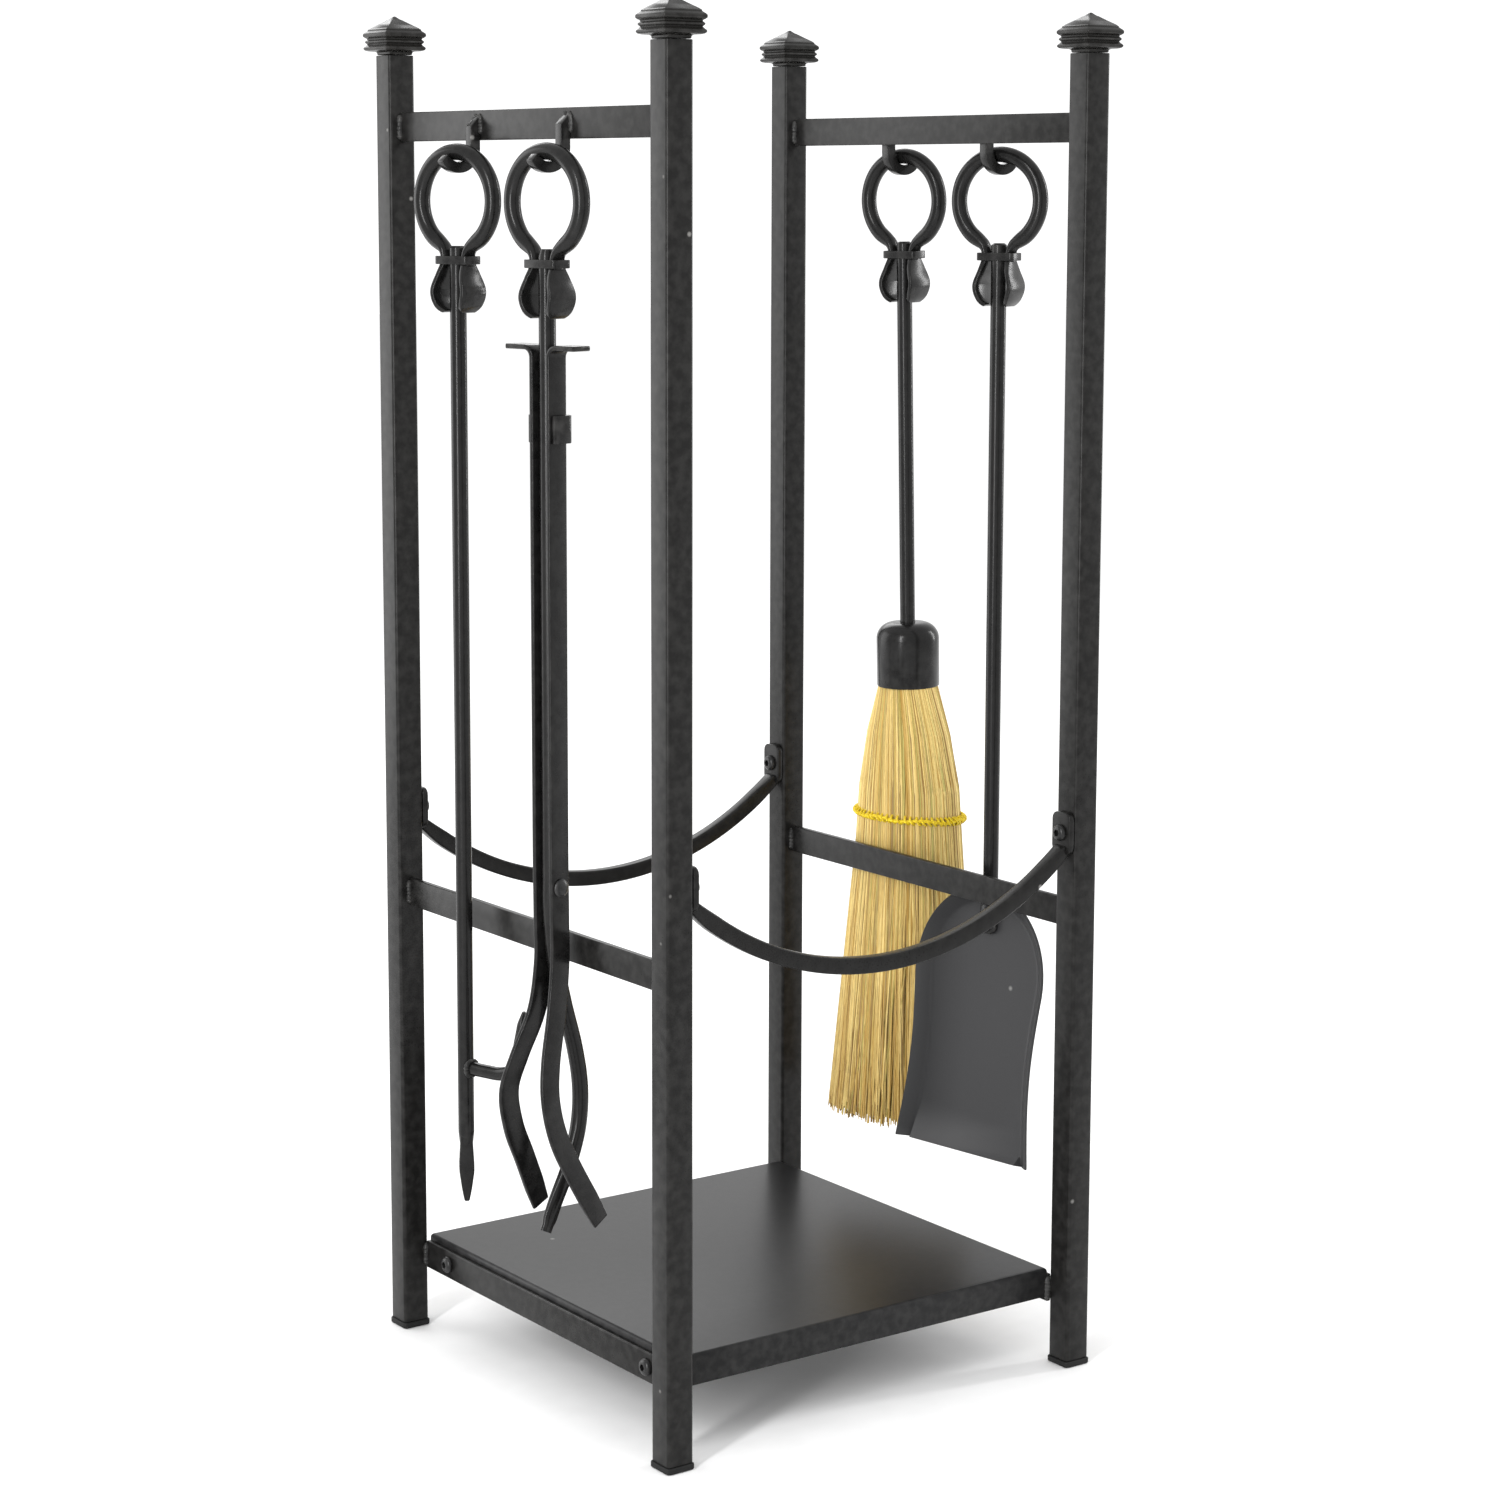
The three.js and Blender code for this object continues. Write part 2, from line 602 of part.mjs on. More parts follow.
// ---- Poker ----
function makePokerShaft() {
  const shaft = rod(ROD, -POKER_LENGTH + POKER_POINT - 4, -SHAFT_TOP);
  const flat = POKER_FLAT / 2;
  const profile = [
    [0, -POKER_LENGTH],
    [0.42 * flat, -POKER_LENGTH],
    [flat, -POKER_LENGTH + 0.6 * POKER_POINT],
    [0.72 * flat, -POKER_LENGTH + POKER_POINT],
    [0, -POKER_LENGTH + POKER_POINT],
  ].map(([radius, z]) => new THREE.Vector2(radius * 1.1, z));
  const point = new THREE.LatheGeometry(profile, 4).rotateX(Math.PI / 2);
  return join(shaft, point);
}

function makeProng() {
  const start = ROD / 2 + GAP;
  const bend = 12;
  const straight = 0.62 * PRONG_REACH;
  const tip = [0, -PRONG_REACH, -PRONG_DROP + PRONG_RISE];
  const path = spline([
    [0, -start + 1.5, -PRONG_DROP],
    [0, -0.35 * PRONG_REACH, -PRONG_DROP],
    [0, -straight, -PRONG_DROP + 0.6],
    [0, -straight - 0.7 * bend, -PRONG_DROP + 0.45 * bend],
    [0, -PRONG_REACH + 3.5, -PRONG_DROP + 0.5 * PRONG_RISE],
    tip,
  ]);
  const bar = bentRod(PRONG_ROD, path, 12);
  const point = new THREE.CylinderGeometry(1.2, PRONG_ROD * 0.62, 0.6 * PRONG_RISE, 4)
    .rotateX(Math.PI / 2)
    .translate(0, 0, 0.3 * PRONG_RISE - 4)
    .rotateX(12 * RADIANS)
    .translate(tip[0], tip[1] + 3, tip[2] - 0.45 * PRONG_RISE);
  const keep = box([-20, 20], [-2 * PRONG_REACH, 0], [-PRONG_DROP - 20, tip[2] - 0.28 * PRONG_RISE]);
  const shaft = rod(ROD + 2 * GAP, -PRONG_DROP - 30, -PRONG_DROP + 30);
  return cut(join(common(bar, keep), point), shaft);
}

function addPoker(rack) {
  const tool = addTool(rack, "poker", -1, 1, POKER_TURN);
  place(tool, "poker_shaft", makePokerShaft(), powderCoat);
  place(tool, "poker_prong", makeProng(), powderCoat);
}

// ---- Tongs ----
const ARM_Y = ROD / 2 + SLIDE + ARM_THICKNESS / 2;
const CLAW = TONGS_LENGTH - PIVOT_DROP; // length below the pivot

function makeTongsRod() {
  const at = (x, share) => [x * ROD_BELLY, 0, -PIVOT_DROP - share * CLAW];
  const path = spline([
    [0, 0, -PIVOT_DROP + 20],
    at(0, 0.06),
    at(0.12, 0.2),
    at(0.42, 0.34),
    at(0.8, 0.48),
    at(0.99, 0.6),
    at(0.93, 0.71),
    at(0.6, 0.82),
    at(0.1, 0.92),
    at(-0.25, 1),
  ]);
  const claw = bentRod(ROD, path, 20);
  const straight = rod(ROD, -PIVOT_DROP + 18, -SHAFT_TOP);
  const hole = rod(RIVET_SHANK + 2 * GAP, -ROD, ROD).rotateX(Math.PI / 2);
  const chiselled = outline([
    [-60, -PIVOT_DROP - 0.8 * CLAW],
    [-60, 0],
    [60, 0],
    [60, -PIVOT_DROP - 0.8 * CLAW],
    [-0.25 * ROD_BELLY + 3, -PIVOT_DROP - CLAW - 1],
    [-0.25 * ROD_BELLY - 4, -PIVOT_DROP - CLAW - 1],
  ]);
  const flats = extrudeAlongX(
    outline([
      [-2, -PIVOT_DROP - CLAW - 5],
      [2, -PIVOT_DROP - CLAW - 5],
      [ROD, -PIVOT_DROP - 0.72 * CLAW],
      [ROD, 0],
      [-ROD, 0],
      [-ROD, -PIVOT_DROP - 0.72 * CLAW],
    ]),
    -60,
    60,
  );
  const whole = common(join(claw, straight), extrudeAlongY(chiselled, -20, 20), flats);
  return cut(whole, hole.translate(0, 0, -PIVOT_DROP));
}

// A flat arm on one side of the rod: finger tab at the top, claw at the bottom.
function makeArm(side) {
  const at = (x, y, share) => {
    const spread = ARM_Y + y * (ARM_SPLAY - ARM_Y);
    return [x * ARM_BELLY, spread, -PIVOT_DROP - share * CLAW];
  };
  const path = spline([
    [0, ARM_Y, -PIVOT_DROP + 20],
    at(0.02, 0, 0.1),
    at(0.02, 0, 0.22),
    at(-0.22, 0.12, 0.36),
    at(-0.74, 0.55, 0.49),
    at(-0.98, 0.92, 0.59),
    at(-0.72, 1.05, 0.7),
    at(-0.12, 1.2, 0.81),
    at(0.8, 1.6, 0.965),
  ]);
  const section = roundedRect(ARM_THICKNESS, ARM_WIDTH, 0.5);
  const claw = sweep(section, path, 20);
  const half = ARM_WIDTH / 2;
  const [inner, outer] = [ARM_Y - ARM_THICKNESS / 2, ARM_Y + ARM_THICKNESS / 2];
  const bend = 4;
  const upper = new THREE.Shape();
  upper.moveTo(inner, -PIVOT_DROP + 19);
  upper.lineTo(outer, -PIVOT_DROP + 19);
  upper.lineTo(outer, -ARM_TOP_DROP - ARM_THICKNESS - bend);
  upper.absarc(outer + bend, -ARM_TOP_DROP - ARM_THICKNESS - bend, bend, Math.PI, Math.PI / 2, true);
  upper.lineTo(TAB_REACH, -ARM_TOP_DROP - ARM_THICKNESS);
  upper.lineTo(TAB_REACH, -ARM_TOP_DROP);
  upper.lineTo(inner + bend + 1, -ARM_TOP_DROP);
  upper.absarc(inner + bend + 1, -ARM_TOP_DROP - bend - 1, bend + 1, Math.PI / 2, Math.PI);
  const blade = extrudeAlongX(upper, -half, half, 4);
  const hole = rod(RIVET_SHANK + 2 * GAP, 0, 2 * ARM_Y).rotateX(-Math.PI / 2);
  const arm = cut(join(claw, blade), hole.translate(0, 0, -PIVOT_DROP));
  return side > 0 ? arm : mirrorY(arm);
}

// The same solid on the other side of Y = 0, with its triangles turned to face out again.
function mirrorY(geometry) {
  const mirrored = geometry.clone().scale(1, -1, 1);
  const corners = mirrored.index.array;
  for (let i = 0; i < corners.length; i += 3) {
    [corners[i + 1], corners[i + 2]] = [corners[i + 2], corners[i + 1]];
  }
  return mirrored;
}

// A strap folded round the arms, open towards -X: it ties them and rests on the rod when shut.
function makeKeeper() {
  const y = ARM_Y + ARM_THICKNESS / 2 + GAP;
  const x = ARM_WIDTH / 2 + GAP;
  const shape = outline([
    [-0.35 * ARM_WIDTH, y],
    [x, y],
    [x, -y],
    [-0.35 * ARM_WIDTH, -y],
    [-0.35 * ARM_WIDTH, -y - KEEPER_SHEET],
    [x + KEEPER_SHEET - 1.2, -y - KEEPER_SHEET],
    [x + KEEPER_SHEET, -y - KEEPER_SHEET + 1.2],
    [x + KEEPER_SHEET, y + KEEPER_SHEET - 1.2],
    [x + KEEPER_SHEET - 1.2, y + KEEPER_SHEET],
    [-0.35 * ARM_WIDTH, y + KEEPER_SHEET],
  ]);
  return extrude(shape, KEEPER_HEIGHT).translate(0, 0, -KEEPER_DROP - KEEPER_HEIGHT);
}

// A rivet along Y with a domed head at each end of its grip.
function makeRivet(grip, shank, head, headHeight) {
  const half = grip / 2;
  const r = head / 2;
  const profile = [
    [0, -half - headHeight],
    [0.55 * r, -half - headHeight],
    [0.88 * r, -half - 0.6 * headHeight],
    [r, -half],
    [shank / 2, -half],
    [shank / 2, half],
    [r, half],
    [0.88 * r, half + 0.6 * headHeight],
    [0.55 * r, half + headHeight],
    [0, half + headHeight],
  ].map(([radius, y]) => new THREE.Vector2(radius, y));
  return new THREE.LatheGeometry(profile, 12);
}

function addTongs(rack) {
  const tool = addTool(rack, "tongs", -1, -1, TONGS_TURN);
  place(tool, "tongs_rod", makeTongsRod(), powderCoat);
  place(tool, "tongs_arm_back", makeArm(1), powderCoat);
  place(tool, "tongs_arm_front", makeArm(-1), powderCoat);
  place(tool, "tongs_keeper", makeKeeper(), powderCoat);
  const grip = 2 * (ARM_Y + ARM_THICKNESS / 2 + GAP);
  const rivet = makeRivet(grip, RIVET_SHANK, RIVET_HEAD, RIVET_HEAD_HEIGHT);
  place(tool, "tongs_rivet", rivet, boltSteel).position.z = -PIVOT_DROP;
}

// ---- Brush ----
// Half width and half depth of the bristles at a depth below the ring.
function bristleHalf(drop) {
  const root = CAP_DIAMETER / 2 - CAP_WALL - GAP;
  const [waistW, waistD] = [BRISTLE_WAIST_WIDTH / 2, BRISTLE_WAIST_DEPTH / 2];
  const start = CAP_DROP + CAP_HEIGHT;
  if (drop <= start) return [root, root];
  if (drop <= BRISTLE_WAIST) {
    const t = (drop - start) / (BRISTLE_WAIST - start);
    const ease = t * (2 - t);
    return [root + (waistW - root) * ease, root + (waistD - root) * ease];
  }
  const t = (drop - BRISTLE_WAIST) / (BRISTLE_BOTTOM - BRISTLE_WAIST);
  const w = waistW + (BRISTLE_END_WIDTH / 2 - waistW) * t;
  return [w, waistD + (BRISTLE_END_DEPTH / 2 - waistD) * t];
}

function bristleDrift(drop) {
  const t = Math.max(0, (drop - BRISTLE_WAIST) / (BRISTLE_BOTTOM - BRISTLE_WAIST));
  return BRISTLE_DRIFT * t;
}

// The angle at which the bristles rest against the middle rail.
function brushLean() {
  const drop = hangHeight(BRUSH_TURN) - (MID_RAIL_TOP - RAIL_HEIGHT);
  const [w, d] = bristleHalf(drop);
  const turn = BRUSH_TURN * RADIANS;
  const reach = Math.hypot(d * Math.cos(turn), w * Math.sin(turn));
  return Math.atan((RAIL_FACE + SLIDE + reach - HOOK_X) / drop);
}

function makeBrushCap() {
  const r = CAP_DIAMETER / 2;
  const neck = ROD / 2 + GAP;
  const [top, bottom] = [-CAP_DROP, -CAP_DROP - CAP_HEIGHT];
  const profile = [
    [neck, top],
    [0.5 * r, top],
    [0.8 * r, top - 2.6],
    [0.96 * r, top - 7],
    [r, top - 12],
    [r, bottom],
    [r - CAP_WALL, bottom],
    [r - CAP_WALL, top - 12],
    [0.5 * r, top - CAP_WALL - 1.5],
    [neck, top - CAP_WALL - 1.5],
    [neck, top],
  ].map(([radius, z]) => new THREE.Vector2(radius, z));
  return new THREE.LatheGeometry(profile.reverse(), 24).rotateX(Math.PI / 2);
}

function makeBristles() {
  const start = CAP_DROP + 16;
  const drops = [start, CAP_DROP + CAP_HEIGHT];
  for (const t of [0.35, 0.7, 1]) {
    drops.push(CAP_DROP + CAP_HEIGHT + t * (BRISTLE_WAIST - CAP_DROP - CAP_HEIGHT));
  }
  for (const t of [0.25, 0.5, 0.75, 1]) {
    drops.push(BRISTLE_WAIST + t * (BRISTLE_BOTTOM - BRISTLE_WAIST));
  }
  const points = drops.map((drop) => new THREE.Vector2(1, -drop));
  points.push(new THREE.Vector2(0, -BRISTLE_BOTTOM));
  points.unshift(new THREE.Vector2(0, -start));
  const lathe = new THREE.LatheGeometry(points.reverse(), 24).rotateX(Math.PI / 2);
  const position = lathe.attributes.position;
  for (let i = 0; i < position.count; i++) {
    const drop = -position.getZ(i);
    const [w, d] = bristleHalf(drop);
    position.setX(i, position.getX(i) * d);
    position.setY(i, position.getY(i) * w + bristleDrift(drop));
  }
  const shaft = rod(ROD + 2 * GAP, -CAP_DROP - CAP_HEIGHT, 0);
  return cut(lathe, shaft);
}

// One turn of stitching round the bristles.
function makeThread() {
  const [w, d] = bristleHalf(BRISTLE_WAIST + THREAD);
  const ellipse = (grow) => new THREE.Shape().absellipse(0, 0, d + grow, w + grow, 0, 2 * Math.PI);
  const band = ellipse(GAP + THREAD);
  band.holes.push(ellipse(GAP));
  return extrude(band, THREAD, 14).translate(0, 0, -BRISTLE_WAIST - THREAD / 2);
}

function addBrush(rack) {
  const tool = addTool(rack, "brush", 1, 1, BRUSH_TURN, brushLean());
  place(tool, "brush_shaft", rod(ROD, -CAP_DROP - CAP_HEIGHT + 3, -SHAFT_TOP), powderCoat);
  place(tool, "brush_cap", makeBrushCap(), powderCoat);
  place(tool, "brush_bristles", makeBristles(), straw);
  place(tool, "brush_stitching", makeThread(), yellowThread);
}

// ---- Shovel ----
// The pan's floor: a mouth, a slight waist, shoulders and a rounded back. Drawn in Y and Z.
function panFloor() {
  const [mouth, waist, shoulder] = [PAN_MOUTH / 2, PAN_WAIST / 2, PAN_SHOULDER / 2];
  const neck = TONGUE_WIDTH / 2 + 3;
  const L = PAN_LENGTH;
  const shape = new THREE.Shape();
  shape.moveTo(-mouth - 1, -L - 20);
  shape.lineTo(mouth + 1, -L - 20);
  shape.lineTo(mouth, -L);
  shape.bezierCurveTo(waist - 1, -0.72 * L, waist - 1, -0.6 * L, shoulder - 0.5, -0.36 * L);
  shape.bezierCurveTo(shoulder + 4, -0.16 * L, 0.6 * shoulder, -0.03 * L, neck, -0.01 * L);
  shape.lineTo(-neck, -0.01 * L);
  shape.bezierCurveTo(-0.6 * shoulder, -0.03 * L, -shoulder - 4, -0.16 * L, -shoulder + 0.5, -0.36 * L);
  shape.bezierCurveTo(-waist + 1, -0.6 * L, -waist + 1, -0.72 * L, -mouth, -L);
  return shape;
}

// The dish that the floor makes as its edges flare up by PAN_WALL and out by PAN_FLARE.
function dish(lift) {
  return new THREE.ExtrudeGeometry(panFloor(), {
    depth: 4,
    bevelThickness: PAN_WALL,
    bevelSize: PAN_FLARE,
    bevelOffset: 0,
    bevelSegments: 2,
    curveSegments: 8,
  })
    .translate(0, 0, PAN_WALL + lift)
    .rotateX(Math.PI / 2)
    .rotateZ(-Math.PI / 2);
}

function makePan() {
  const mouth = box([-40, 1], [-200, 200], [-PAN_LENGTH, 100]);
  const rim = box([-PAN_WALL - PAN_SHEET, 1], [-200, 200], [-2 * PAN_LENGTH, 100]);
  const pan = common(cut(dish(0), dish(PAN_SHEET)), common(mouth, rim));
  const gate = TONGUE_WIDTH / 2 + 1;
  const neck = box([-40, 10], [-gate, gate], [-0.01 * PAN_LENGTH - GAP, 60]);
  return cut(pan, neck, ...panRivetHoles());
}

const panRivetDrop = (i) => 7 + i * PAN_RIVET_SPACING;

function panRivetHoles() {
  return [0, 1].map((i) =>
    rod(RIVET_SHANK - 1 + 2 * GAP, -20, 20, 12)
      .rotateY(Math.PI / 2)
      .translate(0, 0, -panRivetDrop(i)),
  );
}

// The shaft ends in a flat tongue that lies in the pan and leans with it.
function makeTongue() {
  const w = TONGUE_WIDTH / 2;
  const L = TONGUE_LENGTH;
  const face = outline([
    [-w + 2, -L + 3],
    [w - 2, -L + 3],
    [w, -L + 7],
    [w, -2],
    [ROD / 2 - 0.5, 7],
    [-ROD / 2 + 0.5, 7],
    [-w, -2],
    [-w, -L + 7],
  ]);
  const x = -PAN_SHEET - GAP;
  const tongue = extrudeAlongX(face, x - TONGUE_THICKNESS, x);
  return cut(tongue, ...panRivetHoles());
}

function addShovel(rack) {
  const tool = addTool(rack, "shovel", 1, -1, SHOVEL_TURN);
  const head = new THREE.Group();
  head.rotation.z = PAN_TWIST * RADIANS;
  tool.add(head);
  const pan = new THREE.Group();
  const offset = PAN_SHEET + GAP + TONGUE_THICKNESS / 2;
  pan.position.set(offset, 0, -PAN_TOP_DROP);
  pan.rotation.y = PAN_TILT * RADIANS;
  head.add(pan);
  place(pan, "shovel_pan", makePan(), powderCoat);
  const tongue = makeTongue().rotateY(PAN_TILT * RADIANS).translate(offset, 0, -PAN_TOP_DROP);
  const shaft = join(rod(ROD, -PAN_TOP_DROP - 1, -SHAFT_TOP), tongue);
  place(head, "shovel_shaft", shaft, powderCoat);
  const grip = PAN_SHEET + TONGUE_THICKNESS + 3 * GAP;
  for (const i of [0, 1]) {
    const rivet = makeRivet(grip, RIVET_SHANK - 1, RIVET_HEAD - 2, 2);
    const name = i === 0 ? "shovel_rivet_upper" : "shovel_rivet_lower";
    const middle = -(PAN_SHEET + TONGUE_THICKNESS + GAP) / 2;
    place(pan, name, rivet.rotateZ(Math.PI / 2), boltSteel).position.set(middle, 0, -panRivetDrop(i));
  }
}

// ---- The whole set ----
const set = new THREE.Group();
for (const [x, side] of [[-1, "left"], [1, "right"]]) {
  for (const [y, end] of [[-1, "front"], [1, "back"]]) {
    addCorner(set, x, y, `${end}_${side}`);
  }
  addEndFrame(set, x, side);
}
addRetainer(set, -1, "front");
addRetainer(set, 1, "back");
place(set, "shelf", makeShelf(), powderCoat);
addPoker(set);
addTongs(set);
addBrush(set);
addShovel(set);

export default set;
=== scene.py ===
"""A square steel log rack with a poker, tongs, a brush and a shovel on its hooks. Metres, +Z up."""

import logging
import math
from collections.abc import Callable, Iterator, Sequence
from contextlib import contextmanager
from dataclasses import dataclass, field
from enum import Enum

import bpy
import numpy as np
from bpy.types import Material, NodeSocket, NodeTree, Object, ShaderNodeTree
from mathutils import Matrix, Vector


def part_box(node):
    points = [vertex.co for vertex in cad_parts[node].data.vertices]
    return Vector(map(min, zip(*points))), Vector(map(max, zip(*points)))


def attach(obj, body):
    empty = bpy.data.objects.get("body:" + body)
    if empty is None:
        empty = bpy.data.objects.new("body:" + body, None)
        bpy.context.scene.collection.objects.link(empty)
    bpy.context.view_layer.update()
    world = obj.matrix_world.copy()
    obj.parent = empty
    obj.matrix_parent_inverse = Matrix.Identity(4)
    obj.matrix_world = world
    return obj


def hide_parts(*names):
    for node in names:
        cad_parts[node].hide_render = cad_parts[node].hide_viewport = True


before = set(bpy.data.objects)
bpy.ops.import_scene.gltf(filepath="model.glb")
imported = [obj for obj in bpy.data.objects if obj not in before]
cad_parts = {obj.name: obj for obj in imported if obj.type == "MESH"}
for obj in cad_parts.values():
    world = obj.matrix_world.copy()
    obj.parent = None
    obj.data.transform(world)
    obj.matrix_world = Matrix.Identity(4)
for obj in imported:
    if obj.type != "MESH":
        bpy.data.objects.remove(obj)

log = logging.getLogger("fireplace_set")

MM = 0.001
SMOOTH_ANGLE = math.radians(35)
ENDS = ("front", "back")
SIDE_SIGNS = {"left": -1, "right": 1}


class Slot(Enum):
    """The record's material slots."""

    COAT = "powder_coat"
    FINIAL = "cast_finial"
    FOOT = "foot_plastic"
    BOLT = "black_bolt"
    STRAW = "straw"
    THREAD = "yellow_thread"


# ---------------------------------------------------------------- shader nodes


@dataclass
class Graph:
    """Adds nodes to a tree and links them, so that a material reads as one expression."""

    tree: NodeTree

    def node(self, kind: str, settings: dict | None = None, **inputs) -> bpy.types.Node:
        """Adds one node.

        Args:
            kind: the node's Blender type.
            settings: properties to set on the node.
            inputs: socket values, or sockets to link, by socket name with _ for a space.

        Returns:
            The new node.
        """
        made = self.tree.nodes.new(kind)
        for key, value in (settings or {}).items():
            setattr(made, key, value)
        for key, value in inputs.items():
            self.feed(made.inputs[key.replace("_", " ")], value)
        return made

    def feed(self, socket: NodeSocket, value: object) -> None:
        """Links a socket to the input, or sets the input's value."""
        if isinstance(value, NodeSocket):
            self.tree.links.new(value, socket)
        else:
            socket.default_value = value

    def math(self, operation: str, first: object, second: object = 0.0) -> NodeSocket:
        """Adds a Math node of two inputs and returns its output."""
        made = self.node("ShaderNodeMath", {"operation": operation})
        self.feed(made.inputs[0], first)
        self.feed(made.inputs[1], second)
        return made.outputs[0]

    def noise(self, vector: NodeSocket, scale: object, detail: float = 2.0) -> NodeSocket:
        """Adds a noise texture and returns its grey value."""
        made = self.node("ShaderNodeTexNoise", Vector=vector, Scale=scale, Detail=detail)
        return made.outputs[0]

    def ramp(self, value: NodeSocket, low: float, high: float) -> NodeSocket:
        """Maps low..high to 0..1, clamped, and returns the result."""
        made = self.node("ShaderNodeMapRange", {"clamp": True}, Value=value)
        made.inputs["From Min"].default_value = low
        made.inputs["From Max"].default_value = high
        return made.outputs[0]

    def mix(self, share: object, first: object, second: object) -> NodeSocket:
        """Mixes two colours and returns the result."""
        made = self.node("ShaderNodeMix", {"data_type": "RGBA"})
        self.feed(made.inputs[0], share)
        self.feed(made.inputs[6], first)
        self.feed(made.inputs[7], second)
        return made.outputs[2]


def rgb(red: float, green: float, blue: float) -> tuple[float, float, float, float]:
    """A linear colour with full alpha."""
    return (red, green, blue, 1.0)


def make_group(
    name: str,
    inputs: dict[str, float | None],
    outputs: dict[str, str],
    build: Callable[[Graph, bpy.types.Node, bpy.types.Node], None],
) -> ShaderNodeTree:
    """Makes a shader node group once.

    Args:
        name: the group's name.
        inputs: each input's default value, or None for a vector.
        outputs: each output's socket type.
        build: adds the nodes between the group's input and output nodes.

    Returns:
        The node group.
    """
    if name in bpy.data.node_groups:
        return bpy.data.node_groups[name]
    tree = bpy.data.node_groups.new(name, "ShaderNodeTree")
    for key, value in inputs.items():
        kind = "NodeSocketVector" if value is None else "NodeSocketFloat"
        socket = tree.interface.new_socket(name=key, in_out="INPUT", socket_type=kind)
        if value is not None:
            socket.default_value = value
    for key, kind in outputs.items():
        tree.interface.new_socket(name=key, in_out="OUTPUT", socket_type=kind)
    graph = Graph(tree)
    build(graph, tree.nodes.new("NodeGroupInput"), tree.nodes.new("NodeGroupOutput"))
    return tree


def build_paint_skin(graph: Graph, given: bpy.types.Node, result: bpy.types.Node) -> None:
    """Fine orange peel over slow waves of the metal below, and a slow change of tone."""
    vector = given.outputs["Vector"]
    scale = given.outputs["Scale"]
    peel = graph.noise(vector, scale, 3.0)
    waves = graph.noise(vector, graph.math("MULTIPLY", scale, 0.16), 2.0)
    grit = graph.noise(vector, graph.math("MULTIPLY", scale, 3.1), 1.0)
    fine = graph.math("ADD", peel, graph.math("MULTIPLY", grit, 0.35))
    height = graph.math("ADD", fine, graph.math("MULTIPLY", waves, given.outputs["Hammering"]))
    graph.feed(result.inputs["Height"], height)
    slow = graph.noise(vector, 4.0, 1.0)
    tone = graph.math("ADD", graph.math("MULTIPLY", slow, 0.6), graph.math("MULTIPLY", peel, 0.4))
    graph.feed(result.inputs["Tone"], tone)


def build_edge_wear(graph: Graph, given: bpy.types.Node, result: bpy.types.Node) -> None:
    """A mask that is 1 on worn outer edges, broken up by noise."""
    geometry = graph.node("ShaderNodeNewGeometry")
    edge = graph.ramp(geometry.outputs["Pointiness"], 0.51, 0.60)
    broken = graph.ramp(graph.noise(given.outputs["Vector"], 160.0, 3.0), 0.38, 0.66)
    worn = graph.math("MULTIPLY", edge, broken)
    graph.feed(result.inputs["Mask"], graph.math("MULTIPLY", worn, given.outputs["Amount"]))


def build_specks(graph: Graph, given: bpy.types.Node, result: bpy.types.Node) -> None:
    """A mask of sparse pale specks, such as dust and nicks in the paint."""
    cells = graph.node(
        "ShaderNodeTexVoronoi", Vector=given.outputs["Vector"], Scale=given.outputs["Scale"]
    )
    near = graph.ramp(cells.outputs["Distance"], 0.13, 0.05)
    split = graph.node("ShaderNodeSeparateColor", Color=cells.outputs["Color"])
    rare = graph.ramp(split.outputs[0], 0.955, 0.965)
    graph.feed(result.inputs["Mask"], graph.math("MULTIPLY", near, rare))


def paint_skin() -> ShaderNodeTree:
    """The group of paint grain that every painted finish shares."""
    inputs = {"Vector": None, "Scale": 900.0, "Hammering": 1.0}
    outputs = {"Height": "NodeSocketFloat", "Tone": "NodeSocketFloat"}
    return make_group("paint_skin", inputs, outputs, build_paint_skin)


def edge_wear() -> ShaderNodeTree:
    """The group of worn edges."""
    inputs = {"Vector": None, "Amount": 0.5}
    return make_group("edge_wear", inputs, {"Mask": "NodeSocketFloat"}, build_edge_wear)


def specks() -> ShaderNodeTree:
    """The group of dust specks."""
    inputs = {"Vector": None, "Scale": 90.0}
    return make_group("specks", inputs, {"Mask": "NodeSocketFloat"}, build_specks)


